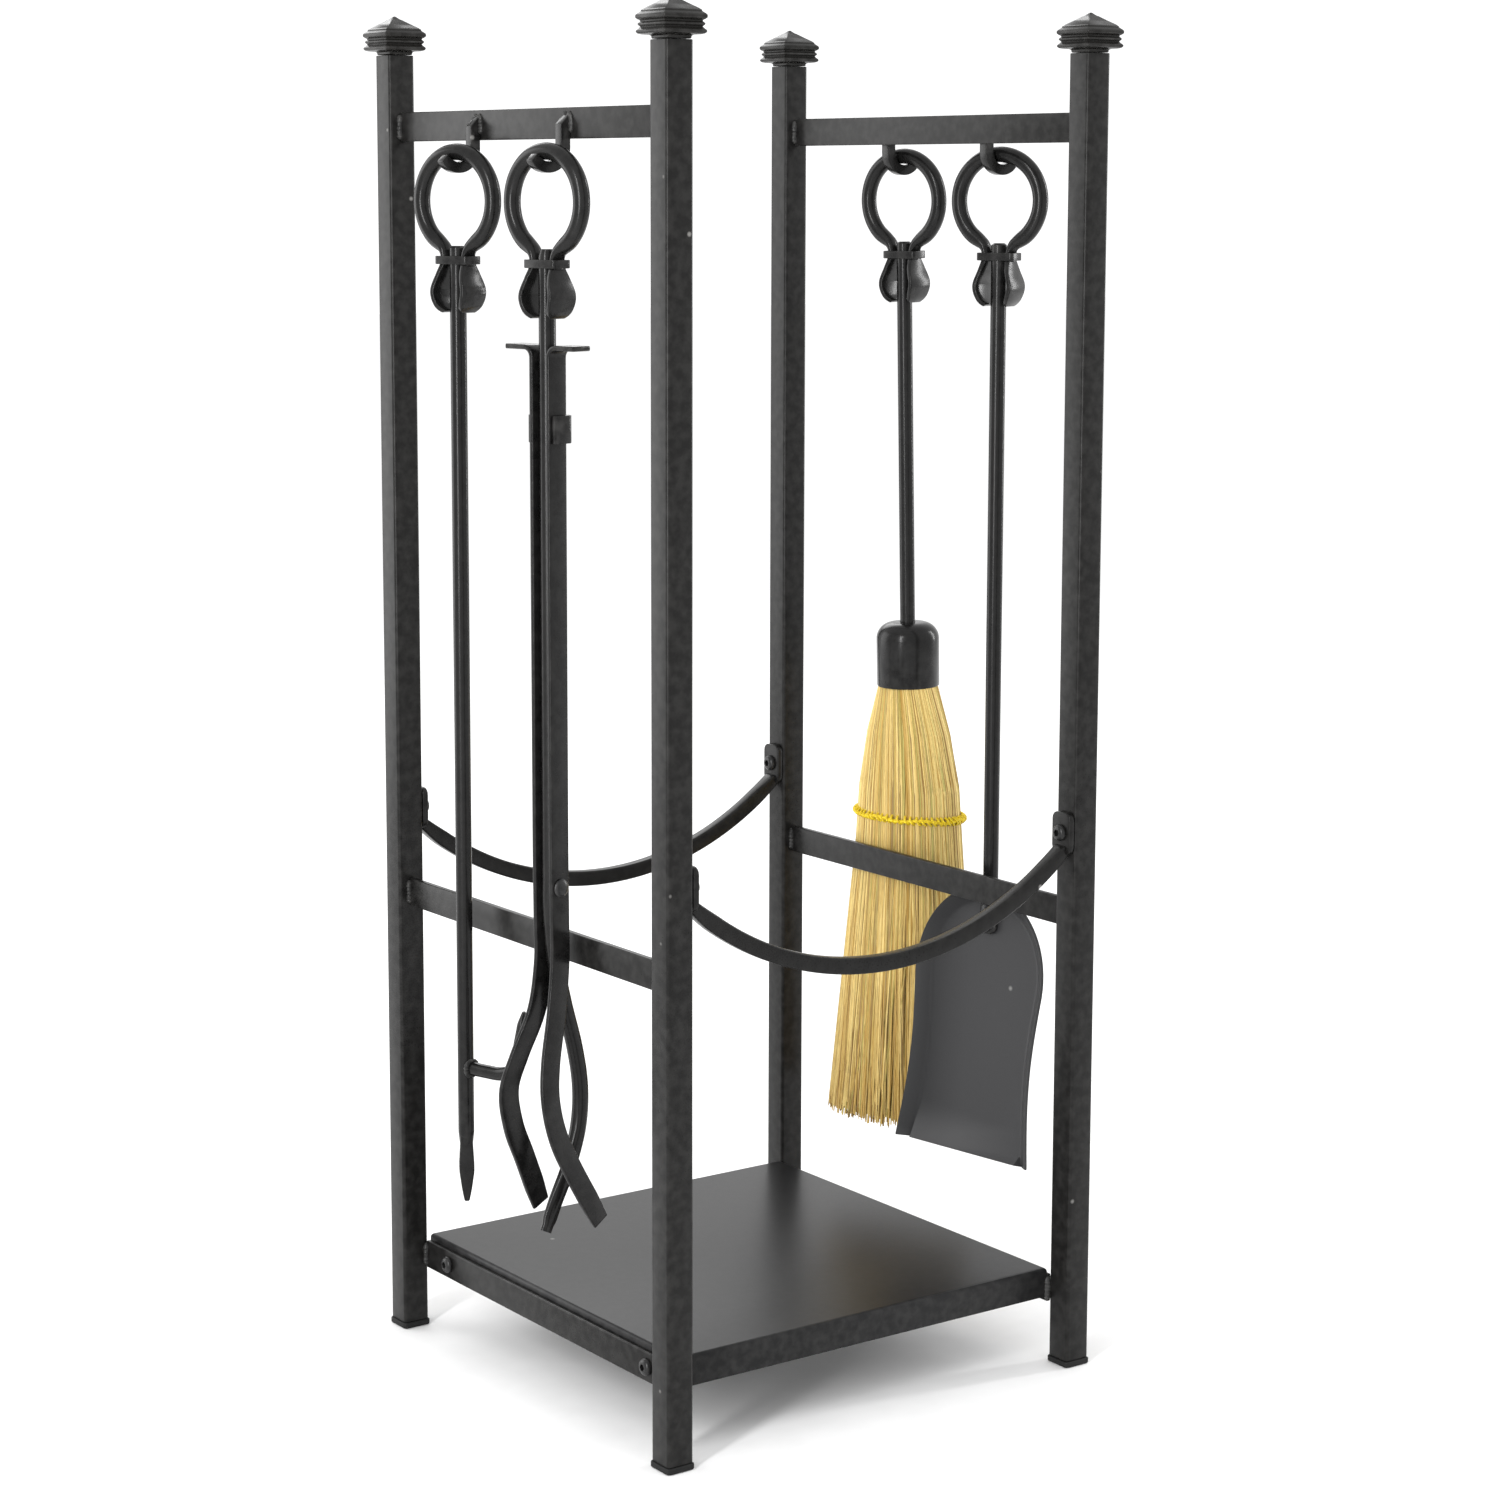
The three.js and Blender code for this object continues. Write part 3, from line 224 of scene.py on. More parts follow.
@dataclass(frozen=True)
class PaintedFinish:
    """A black painted, moulded or oxidised surface."""

    name: str
    base: tuple[float, float, float]
    light: tuple[float, float, float]
    worn: tuple[float, float, float] = (0.09, 0.088, 0.085)
    roughness: float = 0.3
    grain: float = 900.0
    grain_height: float = 0.05
    hammering: float = 1.0
    wear: float = 0.25
    speck_scale: float = 75.0
    coat: float = 0.0
    shine: float = 0.15

    def build(self) -> Material:
        """Makes the material from the shared groups of grain, wear and specks."""
        material = bpy.data.materials.new(self.name)
        material.use_nodes = True
        graph = Graph(material.node_tree)
        shader = graph.tree.nodes["Principled BSDF"]
        place = graph.node("ShaderNodeTexCoord").outputs["Object"]
        skin = graph.node("ShaderNodeGroup", {"node_tree": paint_skin()}, Vector=place)
        skin.inputs["Scale"].default_value = self.grain
        skin.inputs["Hammering"].default_value = self.hammering
        wear = graph.node("ShaderNodeGroup", {"node_tree": edge_wear()}, Vector=place)
        wear.inputs["Amount"].default_value = self.wear
        dust = graph.node("ShaderNodeGroup", {"node_tree": specks()}, Vector=place)
        dust.inputs["Scale"].default_value = self.speck_scale
        tone = graph.ramp(skin.outputs["Tone"], 0.35, 0.65)
        colour = graph.mix(tone, rgb(*self.base), rgb(*self.light))
        colour = graph.mix(wear.outputs["Mask"], colour, rgb(*self.worn))
        speck = graph.math("MULTIPLY", dust.outputs["Mask"], 0.35)
        colour = graph.mix(speck, colour, rgb(0.5, 0.49, 0.47))
        graph.feed(shader.inputs["Base Color"], colour)
        rough = graph.math("MULTIPLY_ADD", tone, 0.06)
        rough.node.inputs[2].default_value = self.roughness - 0.03
        graph.feed(shader.inputs["Roughness"], rough)
        bump = graph.node("ShaderNodeBump", Height=skin.outputs["Height"])
        bump.inputs["Strength"].default_value = 0.35
        bump.inputs["Distance"].default_value = self.grain_height * 0.1 * MM
        graph.feed(shader.inputs["Normal"], bump.outputs["Normal"])
        shader.inputs["Specular IOR Level"].default_value = self.shine
        shader.inputs["Coat Weight"].default_value = self.coat
        shader.inputs["Coat Roughness"].default_value = 0.25
        return material


@dataclass(frozen=True)
class StrawFinish:
    """Dry broom straw: pale to golden, riper towards the ends, with a few green or brown stalks."""

    name: str = "broom_straw"
    pale: tuple[float, float, float] = (0.74, 0.57, 0.21)
    golden: tuple[float, float, float] = (0.43, 0.26, 0.05)
    brown: tuple[float, float, float] = (0.16, 0.085, 0.018)
    green: tuple[float, float, float] = (0.42, 0.36, 0.10)

    def build(self) -> Material:
        """Makes the material, which reads each stalk's tone from the mesh's own attribute."""
        material = bpy.data.materials.new(self.name)
        material.use_nodes = True
        graph = Graph(material.node_tree)
        shader = graph.tree.nodes["Principled BSDF"]
        stalk = graph.node("ShaderNodeAttribute", {"attribute_name": "stalk"})
        split = graph.node("ShaderNodeSeparateXYZ", Vector=stalk.outputs["Vector"])
        place = graph.node("ShaderNodeTexCoord").outputs["Object"]
        stretched = graph.node("ShaderNodeMapping", Vector=place)
        stretched.inputs["Scale"].default_value = (1.0, 1.0, 0.06)
        fibre = graph.noise(stretched.outputs[0], 2600.0, 2.0)
        mottle = graph.noise(place, 110.0, 3.0)
        along = split.outputs["Y"]
        ripe = graph.ramp(split.outputs["X"], 0.2, 0.85)
        colour = graph.mix(ripe, rgb(*self.pale), rgb(*self.golden))
        colour = graph.mix(graph.ramp(split.outputs["Z"], 0.86, 0.96), colour, rgb(*self.green))
        aged = graph.math("MULTIPLY", graph.ramp(along, 0.25, 1.15), graph.ramp(mottle, 0.25, 0.75))
        colour = graph.mix(graph.math("MULTIPLY", aged, 0.75), colour, rgb(*self.golden))
        # Low kinds turn brown: a few real brown stalks, and also the core, whose brown is painted
        # shade between the stalks.
        brown_stalks_and_core_shade = graph.math("MULTIPLY", graph.ramp(split.outputs["Z"], 0.26, 0.04), 0.8)
        colour = graph.mix(brown_stalks_and_core_shade, colour, rgb(*self.brown))
        streak = graph.math("MULTIPLY", graph.ramp(fibre, 0.5, 0.72), 0.45)
        colour = graph.mix(streak, colour, rgb(*self.brown))
        graph.feed(shader.inputs["Base Color"], colour)
        rough = graph.math("MULTIPLY_ADD", fibre, 0.25)
        rough.node.inputs[2].default_value = 0.5
        graph.feed(shader.inputs["Roughness"], rough)
        bump = graph.node("ShaderNodeBump", Height=fibre)
        bump.inputs["Strength"].default_value = 0.5
        bump.inputs["Distance"].default_value = 0.15 * MM
        graph.feed(shader.inputs["Normal"], bump.outputs["Normal"])
        return material


@dataclass(frozen=True)
class ThreadFinish:
    """Twisted plastic cord in a bright colour."""

    name: str = "stitching_cord"
    bright: tuple[float, float, float] = (0.93, 0.74, 0.01)
    deep: tuple[float, float, float] = (0.55, 0.36, 0.0)

    def build(self) -> Material:
        """Makes the material with diagonal strands."""
        material = bpy.data.materials.new(self.name)
        material.use_nodes = True
        graph = Graph(material.node_tree)
        shader = graph.tree.nodes["Principled BSDF"]
        place = graph.node("ShaderNodeTexCoord").outputs["Object"]
        turned = graph.node("ShaderNodeMapping", Vector=place)
        turned.inputs["Rotation"].default_value = (0.6, 0.5, 0.0)
        strands = graph.node("ShaderNodeTexWave", Vector=turned.outputs[0], Scale=420.0)
        strands.inputs["Distortion"].default_value = 1.5
        fuzz = graph.noise(place, 1500.0, 2.0)
        shade = graph.math("MULTIPLY", strands.outputs["Fac"], graph.ramp(fuzz, 0.2, 0.6))
        colour = graph.mix(shade, rgb(*self.deep), rgb(*self.bright))
        graph.feed(shader.inputs["Base Color"], colour)
        bump = graph.node("ShaderNodeBump", Height=strands.outputs["Fac"])
        bump.inputs["Distance"].default_value = 0.25 * MM
        graph.feed(shader.inputs["Normal"], bump.outputs["Normal"])
        shader.inputs["Roughness"].default_value = 0.55
        return material


class Finishes:
    """Every finish of the set, made once."""

    def __init__(self) -> None:
        """Builds the materials."""
        frame_coat = PaintedFinish("frame_coat", (0.0062, 0.0060, 0.0058), (0.0088, 0.0085, 0.0082))
        tool_coat = PaintedFinish(
            "tool_coat", (0.0045, 0.0044, 0.0044), (0.008, 0.0078, 0.0077),
            roughness=0.22, grain=620.0, grain_height=0.07, hammering=2.2, wear=0.4, coat=0.1,
        )
        sheet_coat = PaintedFinish(
            "sheet_coat", (0.0085, 0.0085, 0.0088), (0.0115, 0.0115, 0.012),
            roughness=0.34, grain=1100.0, hammering=0.3, speck_scale=60.0,
        )
        # The pan's coat is the sheet coat made about four times lighter: painted light, so that the
        # pan reads brighter than the lamps make it.
        pan_coat_painted_light = PaintedFinish(
            "pan_coat_painted_light", (0.036, 0.036, 0.037), (0.042, 0.042, 0.0435),
            roughness=0.36, grain=1100.0, hammering=0.3, speck_scale=60.0,
        )
        weld_coat = PaintedFinish(
            "weld_coat", (0.008, 0.008, 0.008), (0.03, 0.03, 0.03),
            roughness=0.3, grain=700.0, grain_height=0.25, hammering=3.0, wear=0.8,
        )
        casting = PaintedFinish(
            "finial_casting", (0.005, 0.0048, 0.0045), (0.012, 0.0115, 0.0105),
            roughness=0.26, grain=520.0, grain_height=0.14, hammering=2.4, wear=0.5,
        )
        plastic = PaintedFinish(
            "foot_plastic", (0.009, 0.009, 0.009), (0.014, 0.014, 0.014),
            roughness=0.6, grain=1400.0, wear=0.1,
        )
        steel = PaintedFinish(
            "bolt_steel", (0.006, 0.006, 0.0062), (0.014, 0.014, 0.0145),
            roughness=0.3, grain=1200.0, hammering=0.4, wear=0.6, coat=0.3,
        )
        self.frame_coat = frame_coat.build()
        self.tool_coat = tool_coat.build()
        self.sheet_coat = sheet_coat.build()
        self.pan_coat_painted_light = pan_coat_painted_light.build()
        self.weld_coat = weld_coat.build()
        self.casting = casting.build()
        self.plastic = plastic.build()
        self.steel = steel.build()
        self.straw = StrawFinish().build()
        self.thread = ThreadFinish().build()


# ---------------------------------------------------------------- modelling


def settle(obj: Object) -> None:
    """Puts an object's place, turn and scale into its mesh."""
    select_only(obj)
    bpy.ops.object.transform_apply(location=True, rotation=True, scale=True)


def select_only(*objects: Object) -> None:
    """Selects just these objects and makes the first one active."""
    bpy.ops.object.select_all(action="DESELECT")
    for obj in objects:
        obj.select_set(True)
    bpy.context.view_layer.objects.active = objects[0]


@contextmanager
def editing(obj: Object) -> Iterator[Object]:
    """Edit mode on one object, with nothing of its mesh selected at first."""
    select_only(obj)
    bpy.ops.object.mode_set(mode="EDIT")
    bpy.ops.mesh.select_all(action="DESELECT")
    yield obj
    bpy.ops.object.mode_set(mode="OBJECT")


def select_where(obj: Object, test: Callable[[Vector, Vector], bool], what: str = "FACE") -> None:
    """Selects faces or edges by place, in edit mode.

    Args:
        obj: the object in edit mode.
        test: gets a face's centre and normal, or an edge's middle and direction.
        what: FACE or EDGE.
    """
    bpy.ops.mesh.select_all(action="DESELECT")
    bpy.ops.mesh.select_mode(type=what)
    bpy.ops.object.mode_set(mode="OBJECT")
    mesh = obj.data
    if what == "FACE":
        for face in mesh.polygons:
            face.select = test(face.center, face.normal)
    else:
        for edge in mesh.edges:
            first, second = (mesh.vertices[i].co for i in edge.vertices)
            edge.select = test((first + second) / 2, (second - first).normalized())
    bpy.ops.object.mode_set(mode="EDIT")


def tidy_surface(obj: Object) -> None:
    """Merges doubled points, turns the faces out and smooths all but the sharp edges."""
    with editing(obj):
        bpy.ops.mesh.select_all(action="SELECT")
        bpy.ops.mesh.remove_doubles(threshold=1e-6)
        bpy.ops.mesh.normals_make_consistent(inside=False)
    select_only(obj)
    bpy.ops.object.shade_smooth_by_angle(angle=SMOOTH_ANGLE)


def add_modifier(obj: Object, kind: str, **settings: object) -> None:
    """Adds a modifier and applies it."""
    select_only(obj)
    modifier = obj.modifiers.new(kind.lower(), kind)
    for key, value in settings.items():
        setattr(modifier, key, value)
    bpy.ops.object.modifier_apply(modifier=modifier.name)


def round_edges(obj: Object, width: float, segments: int = 3, angle: float = 0.5) -> None:
    """Rounds every edge that is sharper than the angle."""
    add_modifier(
        obj, "BEVEL", width=width, segments=segments, limit_method="ANGLE", angle_limit=angle,
        harden_normals=False, use_clamp_overlap=True,
    )


def block(low: Sequence[float], high: Sequence[float]) -> Object:
    """A cuboid between two corners, ready to be shaped."""
    bpy.ops.object.select_all(action="DESELECT")
    low, high = Vector(low), Vector(high)
    bpy.ops.mesh.primitive_cube_add(size=1, location=(low + high) / 2, scale=high - low)
    obj = bpy.context.object
    settle(obj)
    return obj


def rounded_block(low: Sequence[float], high: Sequence[float], radius: float) -> Object:
    """A cuboid with all its edges rounded."""
    obj = block(low, high)
    with editing(obj):
        bpy.ops.mesh.select_all(action="SELECT")
        bpy.ops.mesh.bevel(offset=radius, segments=3, affect="EDGES")
    return obj


def join_objects(first: Object, *others: Object) -> Object:
    """Joins objects into the first one."""
    select_only(first, *others)
    if others:
        bpy.ops.object.join()
    return first


class Sweep:
    """Grows a bar station by station: each step extrudes, turns and sizes its end face."""

    def __init__(
        self,
        centre: Vector,
        across: Vector,
        along: Vector,
        half: tuple[float, float],
        sides: int,
    ) -> None:
        """Draws the first section.

        Args:
            centre: the section's middle.
            across: the section's width direction.
            along: the direction in which the bar leaves.
            half: half width and half depth.
            sides: 4 for a flat or square bar, more for a round one.
        """
        self.centre = Vector(centre)
        self.along = Vector(along).normalized()
        width = (Vector(across) - self.along * Vector(across).dot(self.along)).normalized()
        self.axes = Matrix((width, self.along.cross(width), self.along)).transposed()
        self.half = (1.0, 1.0)
        bpy.ops.object.select_all(action="DESELECT")
        spin = self.axes.to_euler()
        if sides == 4:
            bpy.ops.mesh.primitive_plane_add(size=2, location=self.centre, rotation=spin)
        else:
            bpy.ops.mesh.primitive_circle_add(
                vertices=sides, radius=1, fill_type="NGON", location=self.centre, rotation=spin
            )
        self.obj = bpy.context.object
        settle(self.obj)
        bpy.ops.object.mode_set(mode="EDIT")
        bpy.ops.mesh.select_mode(type="FACE")
        bpy.ops.mesh.select_all(action="SELECT")
        self.size(half)

    def size(self, half: tuple[float, float]) -> None:
        """Sizes the end face to a half width and a half depth."""
        matrix = tuple(tuple(column) for column in self.axes.col)
        for index in (0, 1):
            ratio = half[index] / self.half[index]
            if abs(ratio - 1) > 1e-6:
                value = [1.0, 1.0, 1.0]
                value[index] = ratio
                bpy.ops.transform.resize(
                    value=value, orient_type="GLOBAL", orient_matrix=matrix,
                    orient_matrix_type="GLOBAL", constraint_axis=(index == 0, index == 1, False),
                    center_override=self.centre,
                )
        self.half = half

    def grow(self, centre: Vector, along: Vector, half: tuple[float, float]) -> None:
        """Adds a station.

        Args:
            centre: the new section's middle.
            along: the bar's direction there.
            half: the new half width and half depth.
        """
        centre, along = Vector(centre), Vector(along).normalized()
        bpy.ops.mesh.extrude_region_move(TRANSFORM_OT_translate={"value": centre - self.centre})
        self.centre = centre
        turn = self.along.rotation_difference(along)
        if turn.angle > 1e-6:
            axis = turn.axis.to_track_quat("Z", "Y").to_matrix()
            matrix = tuple(tuple(column) for column in axis.col)
            bpy.ops.transform.rotate(
                value=turn.angle, orient_axis="Z", orient_type="GLOBAL", orient_matrix=matrix,
                orient_matrix_type="GLOBAL", constraint_axis=(False, False, True),
                center_override=centre,
            )
            self.axes = turn.to_matrix() @ self.axes
            self.along = along
        self.size(half)

    def finish(self) -> Object:
        """Leaves edit mode and returns the closed bar."""
        bpy.ops.object.mode_set(mode="OBJECT")
        return self.obj


Station = tuple[Vector, Vector, tuple[float, float]]


def sweep(stations: Sequence[Station], across: Vector, sides: int) -> Object:
    """A bar through a list of stations, each a middle, a direction and a half size."""
    first, *rest = stations
    bar = Sweep(first[0], across, first[1], first[2], sides)
    for centre, along, half in rest:
        bar.grow(centre, along, half)
    return bar.finish()


def smooth_path(points: Sequence[Sequence[float]], count: int) -> list[tuple[Vector, Vector]]:
    """Middles and directions along a Catmull-Rom curve through the points, evenly spaced."""
    known = np.array(points, float)
    ends = np.vstack([2 * known[0] - known[1], known, 2 * known[-1] - known[-2]])
    samples = []
    for i in range(len(known) - 1):
        a, b, c, d = ends[i : i + 4]
        for t in np.linspace(0, 1, 40, endpoint=False):
            square = (2 * a - 5 * b + 4 * c - d) * t**2
            cube = (3 * b - a - 3 * c + d) * t**3
            samples.append(0.5 * (2 * b + (c - a) * t + square + cube))
    samples.append(known[-1])
    dense = np.array(samples)
    length = np.concatenate([[0], np.cumsum(np.linalg.norm(np.diff(dense, axis=0), axis=1))])
    places = np.linspace(0, length[-1], count)
    step = length[-1] / count / 8

    def at(way: float) -> np.ndarray:
        """The point at a length along the curve."""
        return np.array([np.interp(way, length, dense[:, k]) for k in range(3)])

    return [
        (Vector(at(s)), Vector(at(min(s + step, length[-1])) - at(max(s - step, 0))).normalized())
        for s in places
    ]


def blended(table: Sequence[tuple[float, ...]], share: float) -> tuple[float, ...]:
    """Reads a table of (share, value, ...) rows at a share, with straight lines between rows."""
    rows = np.array(table, float)
    return tuple(float(np.interp(share, rows[:, 0], rows[:, k])) for k in range(1, rows.shape[1]))


def lathe(profile: Sequence[tuple[float, float]], steps: int) -> Object:
    """A round solid about +Z: a strip of points is spun once round.

    Args:
        profile: radius and height, from the lower end on the axis to the upper one.
        steps: how many steps make a full turn.

    Returns:
        The closed solid.
    """
    bpy.ops.object.select_all(action="DESELECT")
    bpy.ops.mesh.primitive_plane_add(size=2 * MM)
    obj = bpy.context.object
    with editing(obj):
        bpy.ops.mesh.select_mode(type="VERT")
        bpy.ops.mesh.select_all(action="SELECT")
        bpy.ops.mesh.merge(type="CENTER")
        bpy.ops.mesh.select_all(action="SELECT")
        radius, height = profile[0]
        bpy.ops.transform.translate(value=(radius, 0, height))
        for following in profile[1:]:
            step = (following[0] - radius, 0, following[1] - height)
            bpy.ops.mesh.extrude_region_move(TRANSFORM_OT_translate={"value": step})
            radius, height = following
        bpy.ops.mesh.select_all(action="SELECT")
        bpy.ops.mesh.spin(steps=steps, angle=2 * math.pi, center=(0, 0, 0), axis=(0, 0, 1))
        bpy.ops.mesh.select_all(action="SELECT")
        bpy.ops.mesh.remove_doubles(threshold=1e-6)
        bpy.ops.mesh.normals_make_consistent(inside=False)
    return obj


@dataclass
class Assembly:
    """A sub-assembly: it names, dresses and hands over each of its pieces."""

    finishes: Finishes
    body: str

    def hand_over(
        self, obj: Object, name: str, slot: Slot, material: Material, replaces: Sequence[str] = ()
    ) -> None:
        """Finishes one piece.

        Args:
            obj: the modelled object.
            name: the piece's name.
            slot: the record's material slot it stands for; not used.
            material: its finish.
            replaces: the frame's nodes that it stands for.
        """
        obj.name = name
        obj.data.name = name
        settle(obj)
        tidy_surface(obj)
        obj.data.materials.clear()
        obj.data.materials.append(material)
        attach(obj, self.body)
        if replaces:
            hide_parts(*replaces)
        log.info("%s: %d faces", name, len(obj.data.polygons))


# ---------------------------------------------------------------- shared shapes


def weld_bead(points: Sequence[Vector], radius: float, seed: int, closed: bool = False) -> Object:
    """A rough weld bead along a path: overlapping ripples of uneven size.

    Args:
        points: the bead's route.
        radius: its usual radius.
        seed: fixes the unevenness.
        closed: whether the route comes back to its start.

    Returns:
        The bead.
    """
    rng = np.random.default_rng(seed)
    length = sum((b - a).length for a, b in zip(points, points[1:]))
    count = max(12, int(length / (0.32 * radius)))
    stations = []
    for i, (centre, along) in enumerate(smooth_path(points, count)):
        ripple = 0.86 + 0.2 * abs(math.sin(i * 0.95)) + rng.normal(0, 0.05)
        ending = 1.0 if closed else min(1.0, 0.35 + 0.33 * min(i, count - 1 - i))
        half = radius * ripple * ending
        stations.append((centre, along, (half, half * rng.uniform(0.85, 1.0))))
    across = Vector((0, 0, 1)) if abs(stations[0][1].z) < 0.9 else Vector((1, 0, 0))
    return sweep(stations, across, 10)


def dome_rivet(grip: float, head: float, height: float) -> Object:
    """A rivet about Z with a domed head at each end of its grip."""
    radius = head / 2
    profile = [(0, 0), (radius * 0.9, 0), (radius, 0.12 * height)]
    profile += [
        (radius * math.cos(a), height * (0.12 + 0.88 * math.sin(a)))
        for a in np.linspace(0.15, math.pi / 2, 7)
    ]
    profile[-1] = (0, height)
    heads = []
    for sign in (1, -1):
        cap = lathe(profile, 32)
        turn = Matrix.Identity(4) if sign > 0 else Matrix.Rotation(math.pi, 4, "X")
        cap.data.transform(Matrix.Translation((0, 0, sign * grip / 2)) @ turn)
        heads.append(cap)
    return join_objects(*heads)


@dataclass(frozen=True)
class BoltSize:
    """A button-head bolt's sizes, all but its length."""

    head: float
    height: float
    socket: float
    shank: float
    chamfer: float = 0.5 * MM
    skirt: float = 0.8 * MM
    socket_floor: float = 1.3 * MM


def button_bolt(size: BoltSize, length: float) -> Object:
    """A button-head bolt along +X, its head's underside at X = 0 and its shank towards -X."""
    radius, shank, height, skirt = size.head / 2, size.shank / 2, size.height, size.skirt
    profile = [(0, -length), (shank - size.chamfer, -length), (shank, -length + size.chamfer)]
    profile += [(shank, 0), (radius - 0.2 * MM, 0), (radius, 0.3 * MM), (radius, skirt)]
    rise = height - skirt
    profile += [
        (radius * (0.45 + 0.55 * math.cos(a)), skirt + rise * math.sin(a))
        for a in np.linspace(0.3, math.pi / 2, 6)
    ]
    profile += [(0, height)]
    bolt = lathe(profile, 36)
    bpy.ops.object.select_all(action="DESELECT")
    bpy.ops.mesh.primitive_cylinder_add(
        vertices=6, radius=size.socket / math.sqrt(3), depth=height,
        location=(0, 0, height / 2 + size.socket_floor),
    )
    cutter = bpy.context.object
    settle(cutter)
    tidy_surface(bolt)
    add_modifier(bolt, "BOOLEAN", object=cutter, operation="DIFFERENCE", solver="EXACT")
    bpy.data.objects.remove(cutter)
    bolt.data.transform(Matrix.Rotation(math.pi / 2, 4, "Y"))
    return bolt


def hex_nut(width: float, low: float, high: float) -> Object:
    """A six-sided nut along X between two places, with rounded corners."""
    bpy.ops.object.select_all(action="DESELECT")
    bpy.ops.mesh.primitive_cylinder_add(
        vertices=6, radius=width / math.sqrt(3), depth=high - low,
        location=((low + high) / 2, 0, 0), rotation=(0, math.pi / 2, 0),
    )
    nut = bpy.context.object
    settle(nut)
    round_edges(nut, 0.5 * MM, 2)
    return nut


# ---------------------------------------------------------------- the rack


@dataclass
class Rack(Assembly):
    """Posts, end frames, hooks, shelf and log retainers."""

    body: str = "rack"
    post_corner: float = 2.2 * MM
    post_end_ease: float = 0.4 * MM
    foot_corner: float = 2.4 * MM
    foot_ease: float = 0.8 * MM
    bar_corner: float = 0.7 * MM
    weld: float = 2.3 * MM
    weld_inset: float = 1.5 * MM
    weld_bow: float = 0.2 * MM
    hook_weld_reach: float = 8.5 * MM
    gap: float = 0.3 * MM
    hook_bar: float = 6.5 * MM
    hook_room: float = 16 * MM
    hook_turn: float = math.radians(168)
    hook_tip_start: float = 2.3
    hook_tip_turn: float = 0.63
    hook_tip_loss: float = 0.35
    sheet: float = 1.5 * MM
    shelf_bend: float = 2.6 * MM
    retainer_depth: float = 8 * MM
    retainer_height: float = 10 * MM
    ear_thickness: float = 4 * MM
    ear_height: float = 27 * MM
    ear_tail: float = 4 * MM
    ear_upper_corner: float = 4.5 * MM
    ear_lower_corner: float = 5.5 * MM
    bolt: BoltSize = BoltSize(head=10.5 * MM, height=3.3 * MM, socket=4 * MM, shank=6 * MM)
    nut_width: float = 10 * MM
    nut_height: float = 5 * MM
    nut_inset: float = 2 * MM

    def build(self) -> None:
        """Builds every piece of the rack."""
        for end in ENDS:
            for side in SIDE_SIGNS:
                self.build_corner(f"{end}_{side}")
        for side, sign in SIDE_SIGNS.items():
            self.build_end_frame(side, sign)
        self.build_shelf()
        for end in ENDS:
            self.build_retainer(end)

    def build_corner(self, name: str) -> None:
        """A post with rounded vertical edges, its foot and its finial."""
        low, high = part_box("post_" + name)
        post = block(low, high)
        with editing(post):
            select_where(post, lambda middle, along: abs(along.z) > 0.9, "EDGE")
            bpy.ops.mesh.bevel(offset=self.post_corner, segments=5, affect="EDGES")
        round_edges(post, self.post_end_ease, 2)
        self.hand_over(post, "tube_" + name, Slot.COAT, self.finishes.frame_coat, ["post_" + name])
        foot_low, foot_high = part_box("foot_" + name)
        foot_high.z = low.z - self.gap
        foot = block(foot_low, foot_high)
        with editing(foot):
            select_where(foot, lambda middle, along: abs(along.z) > 0.9, "EDGE")
            bpy.ops.mesh.bevel(offset=self.foot_corner, segments=4, affect="EDGES")
        round_edges(foot, self.foot_ease, 3)
        self.hand_over(foot, "glide_" + name, Slot.FOOT, self.finishes.plastic, ["foot_" + name])
        self.build_finial(name, (low + high) / 2, high.z)

    def build_finial(self, name: str, middle: Vector, base: float) -> None:
        """A square casting: neck, flange, cove, roll and a four-sided point."""
        low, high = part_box("finial_" + name)
        wide, tall = (high.x - low.x) / 2, high.z - base
        roll = [
            (0.94, 3.2), (0.98, 3.9), (0.98, 4.8), (0.9, 6.1), (0.87, 6.9), (0.93, 7.9),
            (0.93, 8.7), (0.87, 9.7), (0.89, 10.5), (0.99, 11.6), (1.0, 12.9), (0.97, 13.7),
            (0.9, 14.6), (0.86, 15.1),
        ]
        rows = [(0.56, 0.3), (0.56, 2.3), (0.8, 2.6)]
        rows += [(p.x, p.z) for p, _ in smooth_path([(half, 0, z) for half, z in roll], 40)]
        rows += [(0.845, 15.9), (0.8, 16.4), (0.5, 19.2), (0.2, 22.2), (0.1, 23.4), (0.03, 24.0)]
        up = Vector((0, 0, 1))
        scale = tall / 24
        stations = [
            (Vector((middle.x, middle.y, base + z * scale)), up, (min(1, half) * wide,) * 2)
            for half, z in rows
        ]
        casting = sweep(stations, Vector((1, 0, 0)), 4)
        round_edges(casting, 0.8 * MM, 3, math.radians(50))
        names = ["finial_" + name]
        self.hand_over(casting, "point_" + name, Slot.FINIAL, self.finishes.casting, names)

    def build_end_frame(self, side: str, sign: int) -> None:
        """Three rails with their welds, two hooks and two shelf bolts."""
        for level in ("top", "mid", "base"):
            node = f"{side}_{level}_rail"
            low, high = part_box(node)
            rail = rounded_block(low, high, self.bar_corner)
            self.hand_over(rail, f"bar_{side}_{level}", Slot.COAT, self.finishes.frame_coat, [node])
            self.build_rail_welds(side, level, low, high)
        for end in ENDS:
            self.build_hook(side, end, sign)
            self.build_shelf_bolt(side, end, sign)

